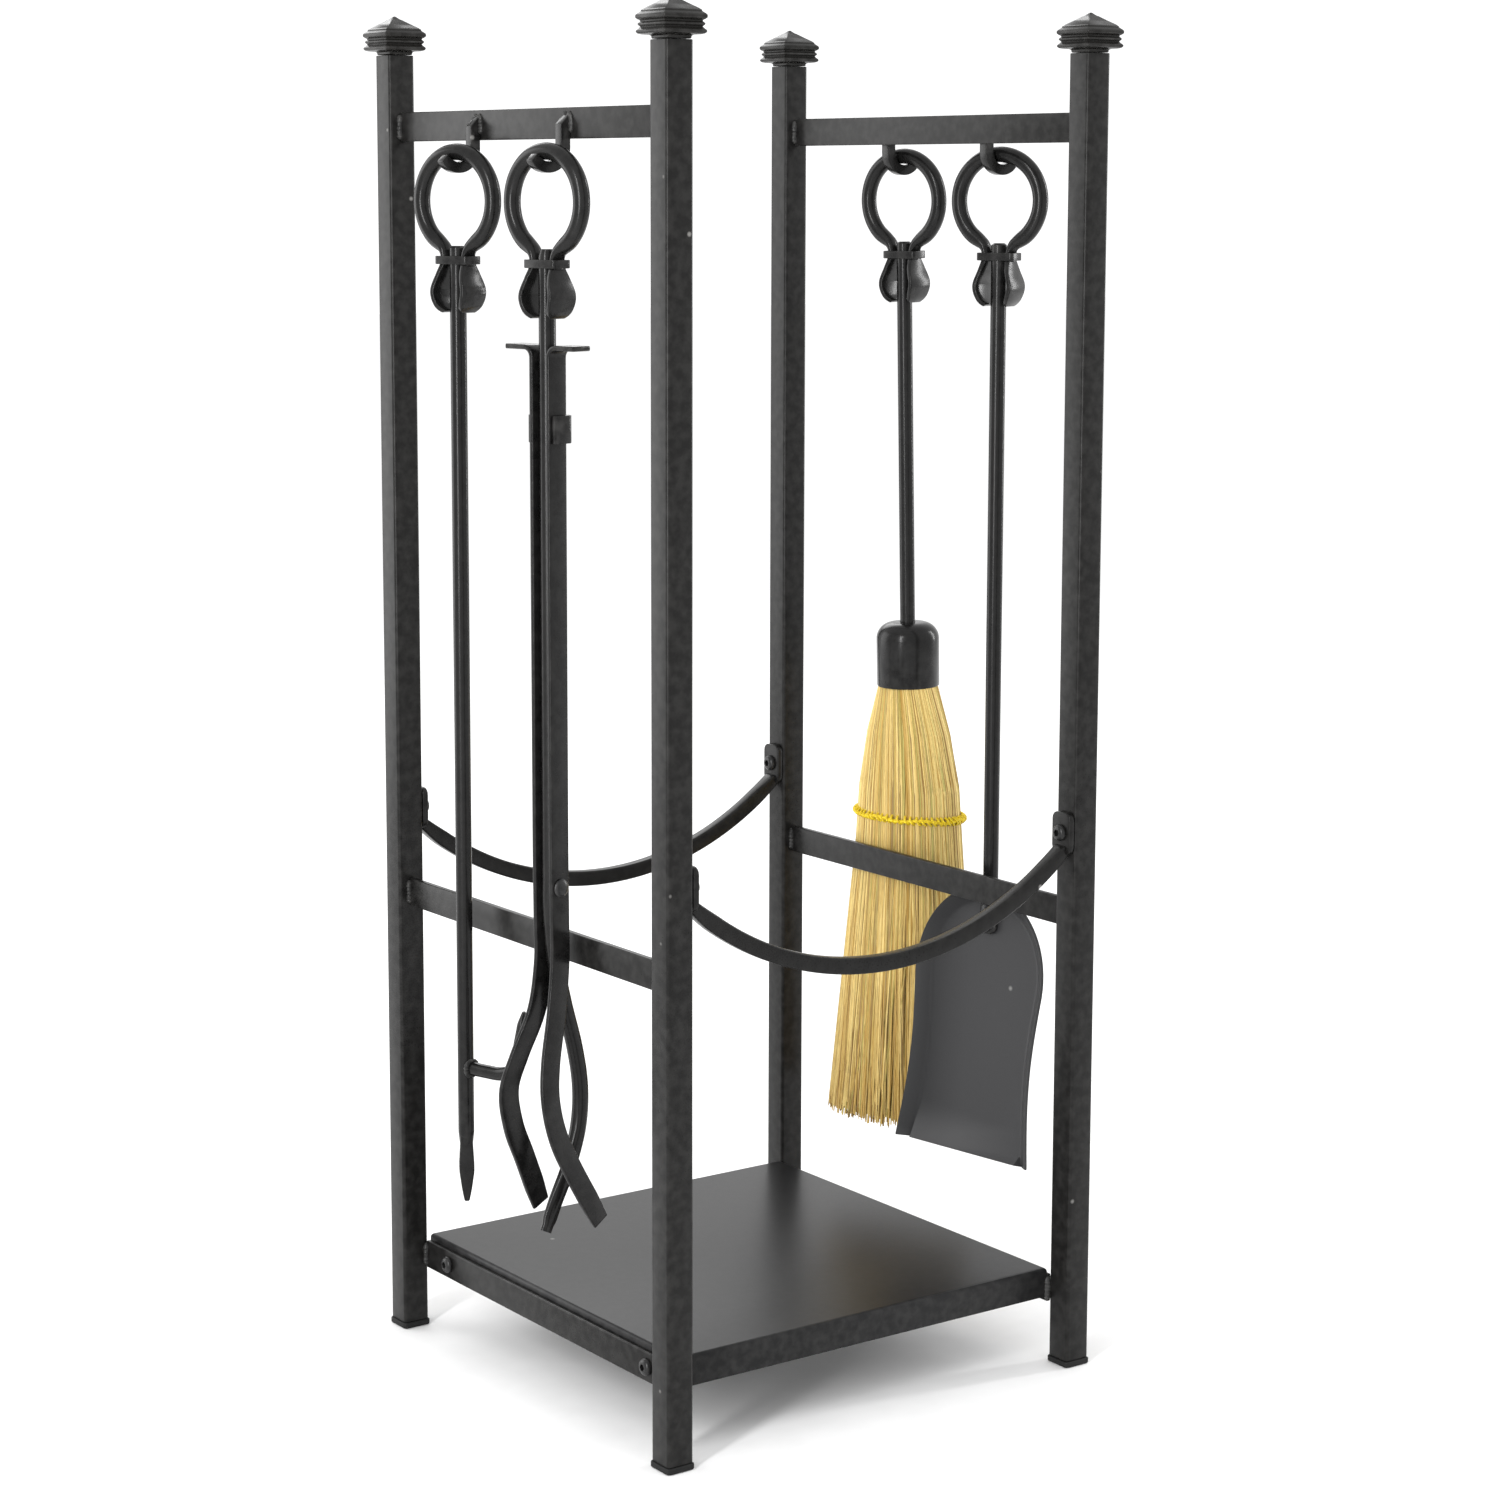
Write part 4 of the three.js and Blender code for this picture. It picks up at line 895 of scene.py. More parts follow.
    def build_rail_welds(self, side: str, level: str, low: Vector, high: Vector) -> None:
        """An upright bead in each corner between the rail's faces and its two posts."""
        beads = []
        corners = [(x, y) for y in (low.y, high.y) for x in (low.x, high.x)]
        for k, (x, y) in enumerate(corners):
            top = Vector((x, y, high.z - self.weld_inset))
            bottom = Vector((x, y, low.z + self.weld_inset))
            middle = (top + bottom) / 2 + Vector((self.weld_bow, 0, 0))
            seed = len(side) * 100 + len(level) * 10 + k
            beads.append(weld_bead([bottom, middle, top], self.weld, seed))
        whole = join_objects(*beads)
        self.hand_over(whole, f"weld_{side}_{level}", Slot.COAT, self.finishes.weld_coat)

    def build_hook(self, side: str, end: str, sign: int) -> None:
        """Square bar: a welded leg with a slanted top, a half-round bend and a cut tip."""
        node = f"hook_{side}_{end}"
        low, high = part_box(node)
        half = self.hook_bar / 2
        radius = self.hook_room / 2 + half
        inner_face = low.x if sign > 0 else high.x
        leg_x = inner_face + sign * half
        centre = Vector((leg_x + sign * radius, (low.y + high.y) / 2, low.z + radius + half))
        size = (half, half)
        down = Vector((0, 0, -1))
        stations = [
            (Vector((leg_x, centre.y, high.z + 1 * MM)), down, size),
            (Vector((leg_x, centre.y, centre.z + 2 * MM)), down, size),
        ]
        for angle in np.linspace(0, self.hook_turn, 22):
            out = Vector((-sign * math.cos(angle), 0, -math.sin(angle)))
            along = Vector((sign * math.sin(angle), 0, -math.cos(angle)))
            tip = max(0.0, angle - self.hook_tip_start)
            taper = 1.0 - self.hook_tip_loss * tip / self.hook_tip_turn
            stations.append((centre + out * radius, along, (half, half * taper)))
        hook = sweep(stations, Vector((0, 1, 0)), 4)
        with editing(hook):
            bpy.ops.mesh.select_all(action="SELECT")
            bpy.ops.mesh.bisect(
                plane_co=(inner_face, 0, high.z), plane_no=(sign * 0.72, 0, 0.69),
                clear_outer=True, use_fill=True,
            )
        round_edges(hook, 0.8 * MM, 3)
        self.hand_over(hook, f"hanger_{side}_{end}", Slot.COAT, self.finishes.tool_coat, [node])
        rail_face = inner_face - sign * self.gap
        beads = []
        for k, dy in enumerate((-half, half)):
            top = Vector((rail_face, centre.y + 0.2 * dy, high.z + 0.4 * MM))
            elbow = Vector((rail_face, centre.y + dy, high.z - 3 * MM))
            lowest = centre.z + self.hook_weld_reach
            bottom = Vector((rail_face, centre.y + 1.1 * dy, lowest))
            seed = 40 + k + len(side) + len(end)
            beads.append(weld_bead([top, elbow, bottom], 0.8 * self.weld, seed))
        whole = join_objects(*beads)
        self.hand_over(whole, f"weld_hook_{side}_{end}", Slot.COAT, self.finishes.weld_coat)

    def build_shelf_bolt(self, side: str, end: str, sign: int) -> None:
        """A button-head bolt and its nut through base rail and shelf."""
        node = f"shelf_bolt_{side}_{end}"
        low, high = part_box(node)
        length = high.x - low.x - self.bolt.height
        bolt = button_bolt(self.bolt, length)
        nut_end = -length + self.nut_inset
        nut = hex_nut(self.nut_width, nut_end, nut_end + self.nut_height)
        whole = join_objects(bolt, nut)
        head = (high.x if sign > 0 else low.x) - sign * self.bolt.height
        turn = Matrix.Identity(4) if sign > 0 else Matrix.Rotation(math.pi, 4, "Z")
        middle = Vector((head, (low.y + high.y) / 2, (low.z + high.z) / 2))
        whole.data.transform(Matrix.Translation(middle) @ turn)
        self.hand_over(whole, f"bolt_shelf_{side}_{end}", Slot.BOLT, self.finishes.steel, [node])

    def build_shelf(self) -> None:
        """A sheet folded down on four sides."""
        low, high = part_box("shelf")
        shelf = block(low, high)
        with editing(shelf):
            select_where(shelf, lambda middle, along: middle.z > high.z - 1 * MM, "EDGE")
            bpy.ops.mesh.bevel(offset=self.shelf_bend, segments=5, affect="EDGES")
            select_where(shelf, lambda middle, normal: normal.z < -0.9)
            bpy.ops.mesh.inset(thickness=self.sheet)
            rise = (0, 0, high.z - low.z - self.sheet)
            bpy.ops.mesh.extrude_region_move(TRANSFORM_OT_translate={"value": rise})
        round_edges(shelf, 0.35 * MM, 2, math.radians(50))
        self.hand_over(shelf, "folded_shelf", Slot.COAT, self.finishes.sheet_coat, ["shelf"])

    def build_retainer(self, end: str) -> None:
        """A sagging bar with an ear at each end, and its two bolts."""
        node = f"{end}_log_retainer"
        low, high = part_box(node)
        y = (low.y + high.y) / 2
        face = high.x
        thick = self.ear_thickness
        ear_low = high.z - self.ear_height
        end_x = face - thick / 2
        end_z = ear_low + self.ear_tail
        deep, tall = self.retainer_depth, self.retainer_height
        sag = end_z - (low.z + tall / 2)
        radius = (end_x**2 + sag**2) / (2 * sag)
        spread = math.asin(end_x / radius)
        stations = []
        for angle in np.linspace(-spread, spread, 61):
            z = end_z - sag + radius - radius * math.cos(angle)
            centre = Vector((radius * math.sin(angle), y, z))
            near_end = max(0.0, (abs(angle) / spread - 0.88) / 0.12)
            half = (deep / 2 * (1 + 0.35 * near_end), tall / 2 * (1 - 0.3 * near_end))
            stations.append((centre, Vector((math.cos(angle), 0, math.sin(angle))), half))
        bar = sweep(stations, Vector((0, 1, 0)), 4)
        round_edges(bar, 1.3 * MM, 3, math.radians(50))
        ears = []
        for sign in (-1, 1):
            x = sorted([sign * face, sign * (face - thick)])
            ear = block((x[0], low.y, ear_low), (x[1], high.y, high.z))
            with editing(ear):
                select_where(ear, lambda mid, along: abs(along.x) > 0.9 and mid.z > end_z, "EDGE")
                bpy.ops.mesh.bevel(offset=self.ear_upper_corner, segments=4, affect="EDGES")
                select_where(ear, lambda mid, along: abs(along.x) > 0.9 and mid.z < end_z, "EDGE")
                bpy.ops.mesh.bevel(offset=self.ear_lower_corner, segments=3, affect="EDGES")
            round_edges(ear, 0.9 * MM, 3)
            ears.append(ear)
        whole = join_objects(bar, *ears)
        self.hand_over(whole, f"retainer_{end}", Slot.COAT, self.finishes.frame_coat, [node])
        for side, sign in SIDE_SIGNS.items():
            self.build_retainer_bolt(end, side, sign)

    def build_retainer_bolt(self, end: str, side: str, sign: int) -> None:
        """A button-head bolt through an ear into its post, headed inwards."""
        node = f"retainer_bolt_{end}_{side}"
        low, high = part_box(node)
        bolt = button_bolt(self.bolt, high.x - low.x - self.bolt.height)
        turn = Matrix.Rotation(math.pi, 4, "Z") if sign > 0 else Matrix.Identity(4)
        head = (low.x + self.bolt.height) if sign > 0 else (high.x - self.bolt.height)
        middle = Vector((head, (low.y + high.y) / 2, (low.z + high.z) / 2))
        bolt.data.transform(Matrix.Translation(middle) @ turn)
        self.hand_over(bolt, f"bolt_retainer_{end}_{side}", Slot.BOLT, self.finishes.steel, [node])


# ---------------------------------------------------------------- the tools


@dataclass
class Tool(Assembly):
    """What all four tools share: the ring handle, its leaves and its collar.

    A tool is modelled hanging straight: its origin is the middle of the rod at the ring's top,
    X is the ring's axis, Y goes across it and Z goes up. It is then turned on its hook.
    """

    turn: float = 0.0
    rod: float = 10 * MM
    ring: float = 29 * MM
    opening: float = math.radians(28)
    collar_drop: float = 61.7 * MM
    collar_height: float = 5 * MM
    strap: float = 1.5 * MM
    strap_corner: float = 2.2 * MM
    stub: float = 6 * MM
    stub_crown: float = 0.72
    stub_round: float = 1.2 * MM
    leg_width: float = 10.5 * MM
    leg_depth: float = 6 * MM
    gap: float = 0.3 * MM
    leaf_length: float = 29 * MM
    leaf_width: float = 21 * MM
    leaf_thickness: float = 3 * MM
    leaf_bow: float = 5.5 * MM

    def home(self) -> Matrix:
        """Where the tool hangs: its ring's box gives the place and the height."""
        ring_low, ring_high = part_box(self.body + "_handle_ring")
        middle = (ring_low + ring_high) / 2
        middle.z = ring_high.z - self.rod / 2
        return Matrix.Translation(middle) @ Matrix.Rotation(self.turn, 4, "Z")

    def give(
        self,
        obj: Object,
        name: str,
        material: Material,
        replaces: Sequence[str] = (),
        slot: Slot = Slot.COAT,
    ) -> None:
        """Moves a piece from the tool's own frame to where it hangs, and hands it over."""
        obj.data.transform(self.home())
        self.hand_over(obj, f"{self.body}_{name}", slot, material, replaces)

    @property
    def leg_y(self) -> float:
        """How far the legs' middles stand from the shaft's axis."""
        return self.rod / 2 + self.gap + self.leg_depth / 2

    @property
    def collar_bottom(self) -> float:
        """Depth of the collar's lower face."""
        return self.collar_drop + self.collar_height

    def build_handle(self) -> None:
        """Builds the ring with its two leaves, and the collar."""
        ring = join_objects(self.make_ring(), self.make_leaf(1), self.make_leaf(-1))
        self.give(ring, "loop", self.finishes.tool_coat, [self.body + "_handle_ring"])
        self.give(self.make_collar(), "band", self.finishes.tool_coat, [self.body + "_collar"])

    def half_loop(self, side: int) -> list[tuple[float, float, float]]:
        """The rod's route from the collar through the reverse bend and round to the top."""
        leave = (self.ring * math.sin(self.opening), -self.ring * (1 + math.cos(self.opening)))
        bend = (leave[0] - self.leg_y) / (1 - math.sin(self.opening))
        bend_z = leave[1] - bend * math.cos(self.opening)
        points = [
            (0, side * self.leg_y, -self.collar_bottom - 0.5 * MM),
            (0, side * self.leg_y, bend_z - 1 * MM),
        ]
        for share in (0.2, 0.5, 0.8):
            a = share * (math.pi / 2 - self.opening)
            y = self.leg_y + bend * (1 - math.cos(a))
            points.append((0, side * y, bend_z + bend * math.sin(a)))
        for i in range(9):
            a = self.opening + (math.pi - self.opening) * i / 9
            points.append((0, side * self.ring * math.sin(a), -self.ring * (1 + math.cos(a))))
        return points

    def make_ring(self) -> Object:
        """The bent rod, a little flattened where the collar grips it."""
        route = self.half_loop(1) + [(0, 0, 0)] + self.half_loop(-1)[::-1]
        round_half = self.rod / 2
        stations = []
        for centre, along in smooth_path(route, 110):
            below = (-centre.z - 0.83 * self.collar_drop) / (0.15 * self.collar_drop)
            flat = min(1.0, max(0.0, below))
            flat = flat * flat * (3 - 2 * flat)
            across = round_half + (self.leg_width / 2 - round_half) * flat
            deep = round_half + (self.leg_depth / 2 - round_half) * flat
            stations.append((centre, along, (across, deep)))
        return sweep(stations, Vector((1, 0, 0)), 24)

    def make_leaf(self, side: int) -> Object:
        """One flattened end: it bows out below the collar and comes back to the shaft."""
        near = self.rod / 2 + self.gap + self.leaf_thickness / 2
        top = -self.collar_bottom + 1.5 * MM
        length, bow = self.leaf_length, self.leaf_bow
        route = [
            (0, near + 1.2 * MM, top),
            (0, near + 0.55 * bow, top - 0.3 * length),
            (0, near + bow, top - 0.6 * length),
            (0, near + 0.66 * bow, top - 0.86 * length),
            (0, near + 0.3 * MM, top - 1.03 * length),
        ]
        widths = [
            (0, 0.5), (0.08, 0.56), (0.2, 0.75), (0.35, 0.9), (0.5, 0.98), (0.62, 1.0),
            (0.74, 0.98), (0.85, 0.9), (0.93, 0.77), (0.98, 0.6), (1.0, 0.5),
        ]
        path = smooth_path([(x, side * y, z) for x, y, z in route], 26)
        stations = []
        for i, (centre, along) in enumerate(path):
            share = i / (len(path) - 1)
            wide = blended(widths, share)[0] * self.leaf_width / 2
            thick = self.leaf_thickness / 2 * (1.25 - 0.25 * min(1, share * 5))
            stations.append((centre, along, (wide, thick)))
        leaf = sweep(stations, Vector((1, 0, 0)), 4)
        round_edges(leaf, 0.8 * MM, 3, math.radians(50))
        return leaf

    def make_collar(self) -> Object:
        """A strap closed round the legs and the shaft."""
        x = self.leg_width / 2 + self.gap + self.strap
        y = self.leg_y + self.leg_depth / 2 + self.gap + self.strap
        collar = block((-x, -y, -self.collar_bottom), (x, y, -self.collar_drop))
        with editing(collar):
            select_where(collar, lambda middle, along: abs(along.z) > 0.9, "EDGE")
            bpy.ops.mesh.bevel(offset=self.strap_corner, segments=4, affect="EDGES")
            select_where(collar, lambda middle, normal: abs(normal.z) > 0.9)
            bpy.ops.mesh.inset(thickness=self.strap)
            bpy.ops.mesh.bridge_edge_loops()
        round_edges(collar, 0.5 * MM, 3)
        return collar

    def make_shaft(self, bottom: float, end: float = 1.0) -> Object:
        """A round shaft from its stub above the collar down to a depth, drawn down at its end."""
        top = -self.collar_drop + self.stub
        down = Vector((0, 0, -1))
        half = self.rod / 2
        crown = self.stub_crown * half
        stations = [(Vector((0, 0, top)), down, (crown, crown))]
        stations.append((Vector((0, 0, top - self.stub_round)), down, (half, half)))
        for z in np.linspace(top - 2 * MM, -bottom + 9 * MM, 14):
            stations.append((Vector((0, 0, z)), down, (half, half)))
        stations.append((Vector((0, 0, -bottom)), down, (half * end, half * end)))
        return sweep(stations, Vector((1, 0, 0)), 28)


@dataclass
class Poker(Tool):
    """A straight shaft with a forged point and a side prong."""

    body: str = "poker"
    turn: float = math.radians(16)
    length: float = 648 * MM
    point: float = 44 * MM
    prong_rod: float = 8.5 * MM
    prong_drop: float = 562 * MM
    prong_reach: float = 49 * MM
    prong_rise: float = 43 * MM
    prong_weld: float = 1.7 * MM
    prong_weld_reach: float = 4.9 * MM

    def build(self) -> None:
        """Builds the whole poker."""
        self.build_handle()
        rod = self.make_shaft(self.length - self.point + 8 * MM, 0.8)
        shaft = join_objects(rod, self.make_point())
        self.give(shaft, "bar", self.finishes.tool_coat, ["poker_shaft"])
        self.give(self.make_prong(), "spur", self.finishes.tool_coat, ["poker_prong"])
        self.give(self.make_prong_weld(), "spur_weld", self.finishes.weld_coat)

    def make_point(self) -> Object:
        """The rod hammered square, swelling and then drawn to a blunt point."""
        halves = [
            (0, 3.75), (0.12, 3.9), (0.3, 4.4), (0.45, 4.75), (0.55, 4.7), (0.8, 3.2),
            (0.96, 1.9), (1.0, 1.5),
        ]
        start = -self.length + self.point
        down = Vector((0, 0, -1))
        stations = []
        for share in np.linspace(0, 1, 24):
            half = blended(halves, share)[0] * MM
            stations.append((Vector((0, 0, start - share * self.point)), down, (half, half)))
        point = sweep(stations, Vector((1, 1, 0)), 4)
        round_edges(point, 0.9 * MM, 3, math.radians(50))
        return point

    def make_prong(self) -> Object:
        """A rod out to the side, bent up and forged to a point."""
        out, up, z = self.prong_reach, self.prong_rise, -self.prong_drop
        route = [
            (0, -3.5 * MM, z),
            (0, -0.35 * out, z),
            (0, -0.62 * out, z + 0.8 * MM),
            (0, -0.84 * out, z + 0.14 * up),
            (0, -0.94 * out, z + 0.5 * up),
            (0, -out, z + up),
        ]
        table = [(0, 1, 1), (0.62, 1, 1), (0.74, 1.15, 1.0), (0.9, 0.95, 0.72), (1, 0.3, 0.2)]
        half = self.prong_rod / 2
        stations = []
        path = smooth_path(route, 56)
        for i, (centre, along) in enumerate(path):
            across, deep = blended(table, i / (len(path) - 1))
            stations.append((centre, along, (half * across, half * deep)))
        return sweep(stations, Vector((1, 0, 0)), 24)

    def make_prong_weld(self) -> Object:
        """The bead round the prong's root."""
        radius = self.prong_rod / 2 + 0.4 * MM
        y, z = -self.prong_weld_reach, -self.prong_drop
        route = [
            Vector((radius * math.cos(a), y, z + radius * math.sin(a)))
            for a in np.linspace(0, 2 * math.pi, 17)
        ]
        return weld_bead(route, self.prong_weld, 7, closed=True)


@dataclass
class Tongs(Tool):
    """A middle rod with one claw, and two flat arms that turn together about a rivet."""

    body: str = "tongs"
    turn: float = math.radians(11)
    pivot: float = 429.5 * MM
    length: float = 640 * MM
    arm_width: float = 14.5 * MM
    arm_thickness: float = 3 * MM
    slide: float = 0.5 * MM
    arm_top: float = 110.5 * MM
    tab_reach: float = 29 * MM
    tab_bend: float = 4.5 * MM
    belly: float = 18.5 * MM
    splay: float = 19 * MM
    rod_belly: float = 23.4 * MM
    keeper_drop: float = 151 * MM
    keeper_height: float = 16.5 * MM
    keeper_sheet: float = 2.5 * MM
    rivet_head: float = 11 * MM
    rivet_height: float = 2.6 * MM

    def build(self) -> None:
        """Builds the rod and its ring on one body, and the arms on the other."""
        self.build_handle()
        self.give(self.make_rod(), "bar", self.finishes.tool_coat, ["tongs_rod"])
        Arms(self.finishes, "tongs_arms", self, self.home()).build()

    @property
    def arm_y(self) -> float:
        """How far an arm's middle stands from the rod's axis."""
        return self.rod / 2 + self.slide + self.arm_thickness / 2

    def depth(self, share: float) -> float:
        """Depth below the ring at a share of the length under the pivot."""
        return -self.pivot - share * (self.length - self.pivot)

    def make_rod(self) -> Object:
        """The shaft, which swings out and back to a flattened claw."""
        swing = [
            (0, -0.02), (0, 0.06), (0.12, 0.2), (0.42, 0.34), (0.8, 0.48), (0.99, 0.6),
            (0.93, 0.71), (0.6, 0.82), (0.1, 0.92), (-0.25, 1),
        ]
        top = -self.collar_drop + self.stub
        route = [(0, 0, top), (0, 0, -0.5 * self.pivot), (0, 0, -0.9 * self.pivot)]
        route += [(x * self.rod_belly, 0, self.depth(share)) for x, share in swing]
        half = self.rod / 2
        stations = []
        for centre, along in smooth_path(route, 150):
            claw = max(0.0, (self.depth(0.72) - centre.z) / (self.depth(0.72) - self.depth(1)))
            sides = half * (1 - 0.5 * claw)
            facing = half * (1 + 0.1 * claw) if claw < 0.9 else half * 0.85
            crown = self.stub_crown if centre.z > top - self.stub_round / 2 else 1.0
            stations.append((centre, along, (sides * crown, facing * crown)))
        return sweep(stations, Vector((0, 1, 0)), 24)


@dataclass
class Arms(Assembly):
    """The tongs' two outer arms, the strap that ties them and the rivet they turn on."""

    tongs: Tongs
    home: Matrix

    def build(self) -> None:
        """Builds the four pieces of the turning body."""
        coat = self.finishes.tool_coat
        for side, name in ((1, "back"), (-1, "front")):
            self.give(self.make_arm(side), f"tongs_blade_{name}", coat, [f"tongs_arm_{name}"])
        self.give(self.make_keeper(), "tongs_strap", coat, ["tongs_keeper"])
        self.give(self.make_rivet(), "tongs_pin", self.finishes.steel, ["tongs_rivet"], Slot.BOLT)

    def give(
        self,
        obj: Object,
        name: str,
        material: Material,
        replaces: Sequence[str],
        slot: Slot = Slot.COAT,
    ) -> None:
        """Moves a piece to where the tongs hang, and hands it over."""
        obj.data.transform(self.home)
        self.hand_over(obj, name, slot, material, replaces)

    def make_arm(self, side: int) -> Object:
        """A flat bar: finger tab, bend, straight blade and claw."""
        t = self.tongs
        claw = [
            (0.02, 0, 0.1), (0.02, 0, 0.22), (-0.22, 0.12, 0.36), (-0.74, 0.55, 0.49),
            (-0.98, 0.92, 0.59), (-0.72, 1.05, 0.7), (-0.12, 1.2, 0.81), (0.8, 1.6, 0.965),
        ]
        wide, thick = t.arm_width / 2 - 0.15 * MM, t.arm_thickness / 2
        top = -t.arm_top - thick
        bend = t.tab_bend + thick
        inwards = Vector((0, -side, 0))
        stations = [
            (Vector((0, side * t.tab_reach, top)), inwards, (0.86 * wide, 0.9 * thick)),
            (Vector((0, side * (t.tab_reach - 1 * MM), top)), inwards, (wide, thick)),
        ]
        for angle in np.linspace(0, math.pi / 2, 9):
            y = t.arm_y + bend * (1 - math.sin(angle))
            z = top - bend * (1 - math.cos(angle))
            along = Vector((0, -side * math.cos(angle), -math.sin(angle)))
            stations.append((Vector((0, side * y, z)), along, (wide, thick)))
        for z in np.linspace(top - bend - 10 * MM, -t.pivot + 22 * MM, 12):
            stations.append((Vector((0, side * t.arm_y, z)), Vector((0, 0, -1)), (wide, thick)))
        route = [(0, side * t.arm_y, -t.pivot + 20 * MM)]
        for x, y, share in claw:
            spread = t.arm_y + y * (t.splay - t.arm_y)
            route.append((x * t.belly, side * spread, t.depth(share)))
        path = smooth_path(route, 70)
        for i, (centre, along) in enumerate(path[1:]):
            tip = max(0.0, (i / (len(path) - 2) - 0.93) / 0.07)
            stations.append((centre, along, (wide * (1 - 0.12 * tip), thick * (1 - 0.3 * tip))))
        arm = sweep(stations, Vector((1, 0, 0)), 4)
        round_edges(arm, 0.9 * MM, 3, math.radians(50))
        return arm

    def make_keeper(self) -> Object:
        """A strap folded round both arms, open on one side."""
        t = self.tongs
        drop, height, sheet = t.keeper_drop, t.keeper_height, t.keeper_sheet
        y = t.arm_y + t.arm_thickness / 2 + t.gap + sheet / 2
        x = t.arm_width / 2 + t.gap + sheet / 2
        z = -drop - height / 2
        start = -0.35 * t.arm_width
        corner = t.strap_corner
        half = (height / 2, sheet / 2)
        stations = [(Vector((start, y, z)), Vector((1, 0, 0)), half)]
        for centre_y, first in ((y - corner, 0.0), (-y + corner, math.pi / 2)):
            for share in np.linspace(0, 1, 6):
                angle = first + share * math.pi / 2
                across = x - corner + corner * math.sin(angle)
                place = Vector((across, centre_y + corner * math.cos(angle), z))
                stations.append((place, Vector((math.cos(angle), -math.sin(angle), 0)), half))
        stations.append((Vector((start, -y, z)), Vector((-1, 0, 0)), half))
        strap = sweep(stations, Vector((0, 0, 1)), 4)
        round_edges(strap, 0.6 * MM, 2, math.radians(50))
        return strap

    def make_rivet(self) -> Object:
        """The rivet through arms and rod."""
        t = self.tongs
        grip = 2 * (t.arm_y + t.arm_thickness / 2 + t.gap)
        rivet = dome_rivet(grip, t.rivet_head, t.rivet_height)
        place = Matrix.Translation((0, 0, -t.pivot)) @ Matrix.Rotation(math.pi / 2, 4, "X")
        rivet.data.transform(place)
        return rivet


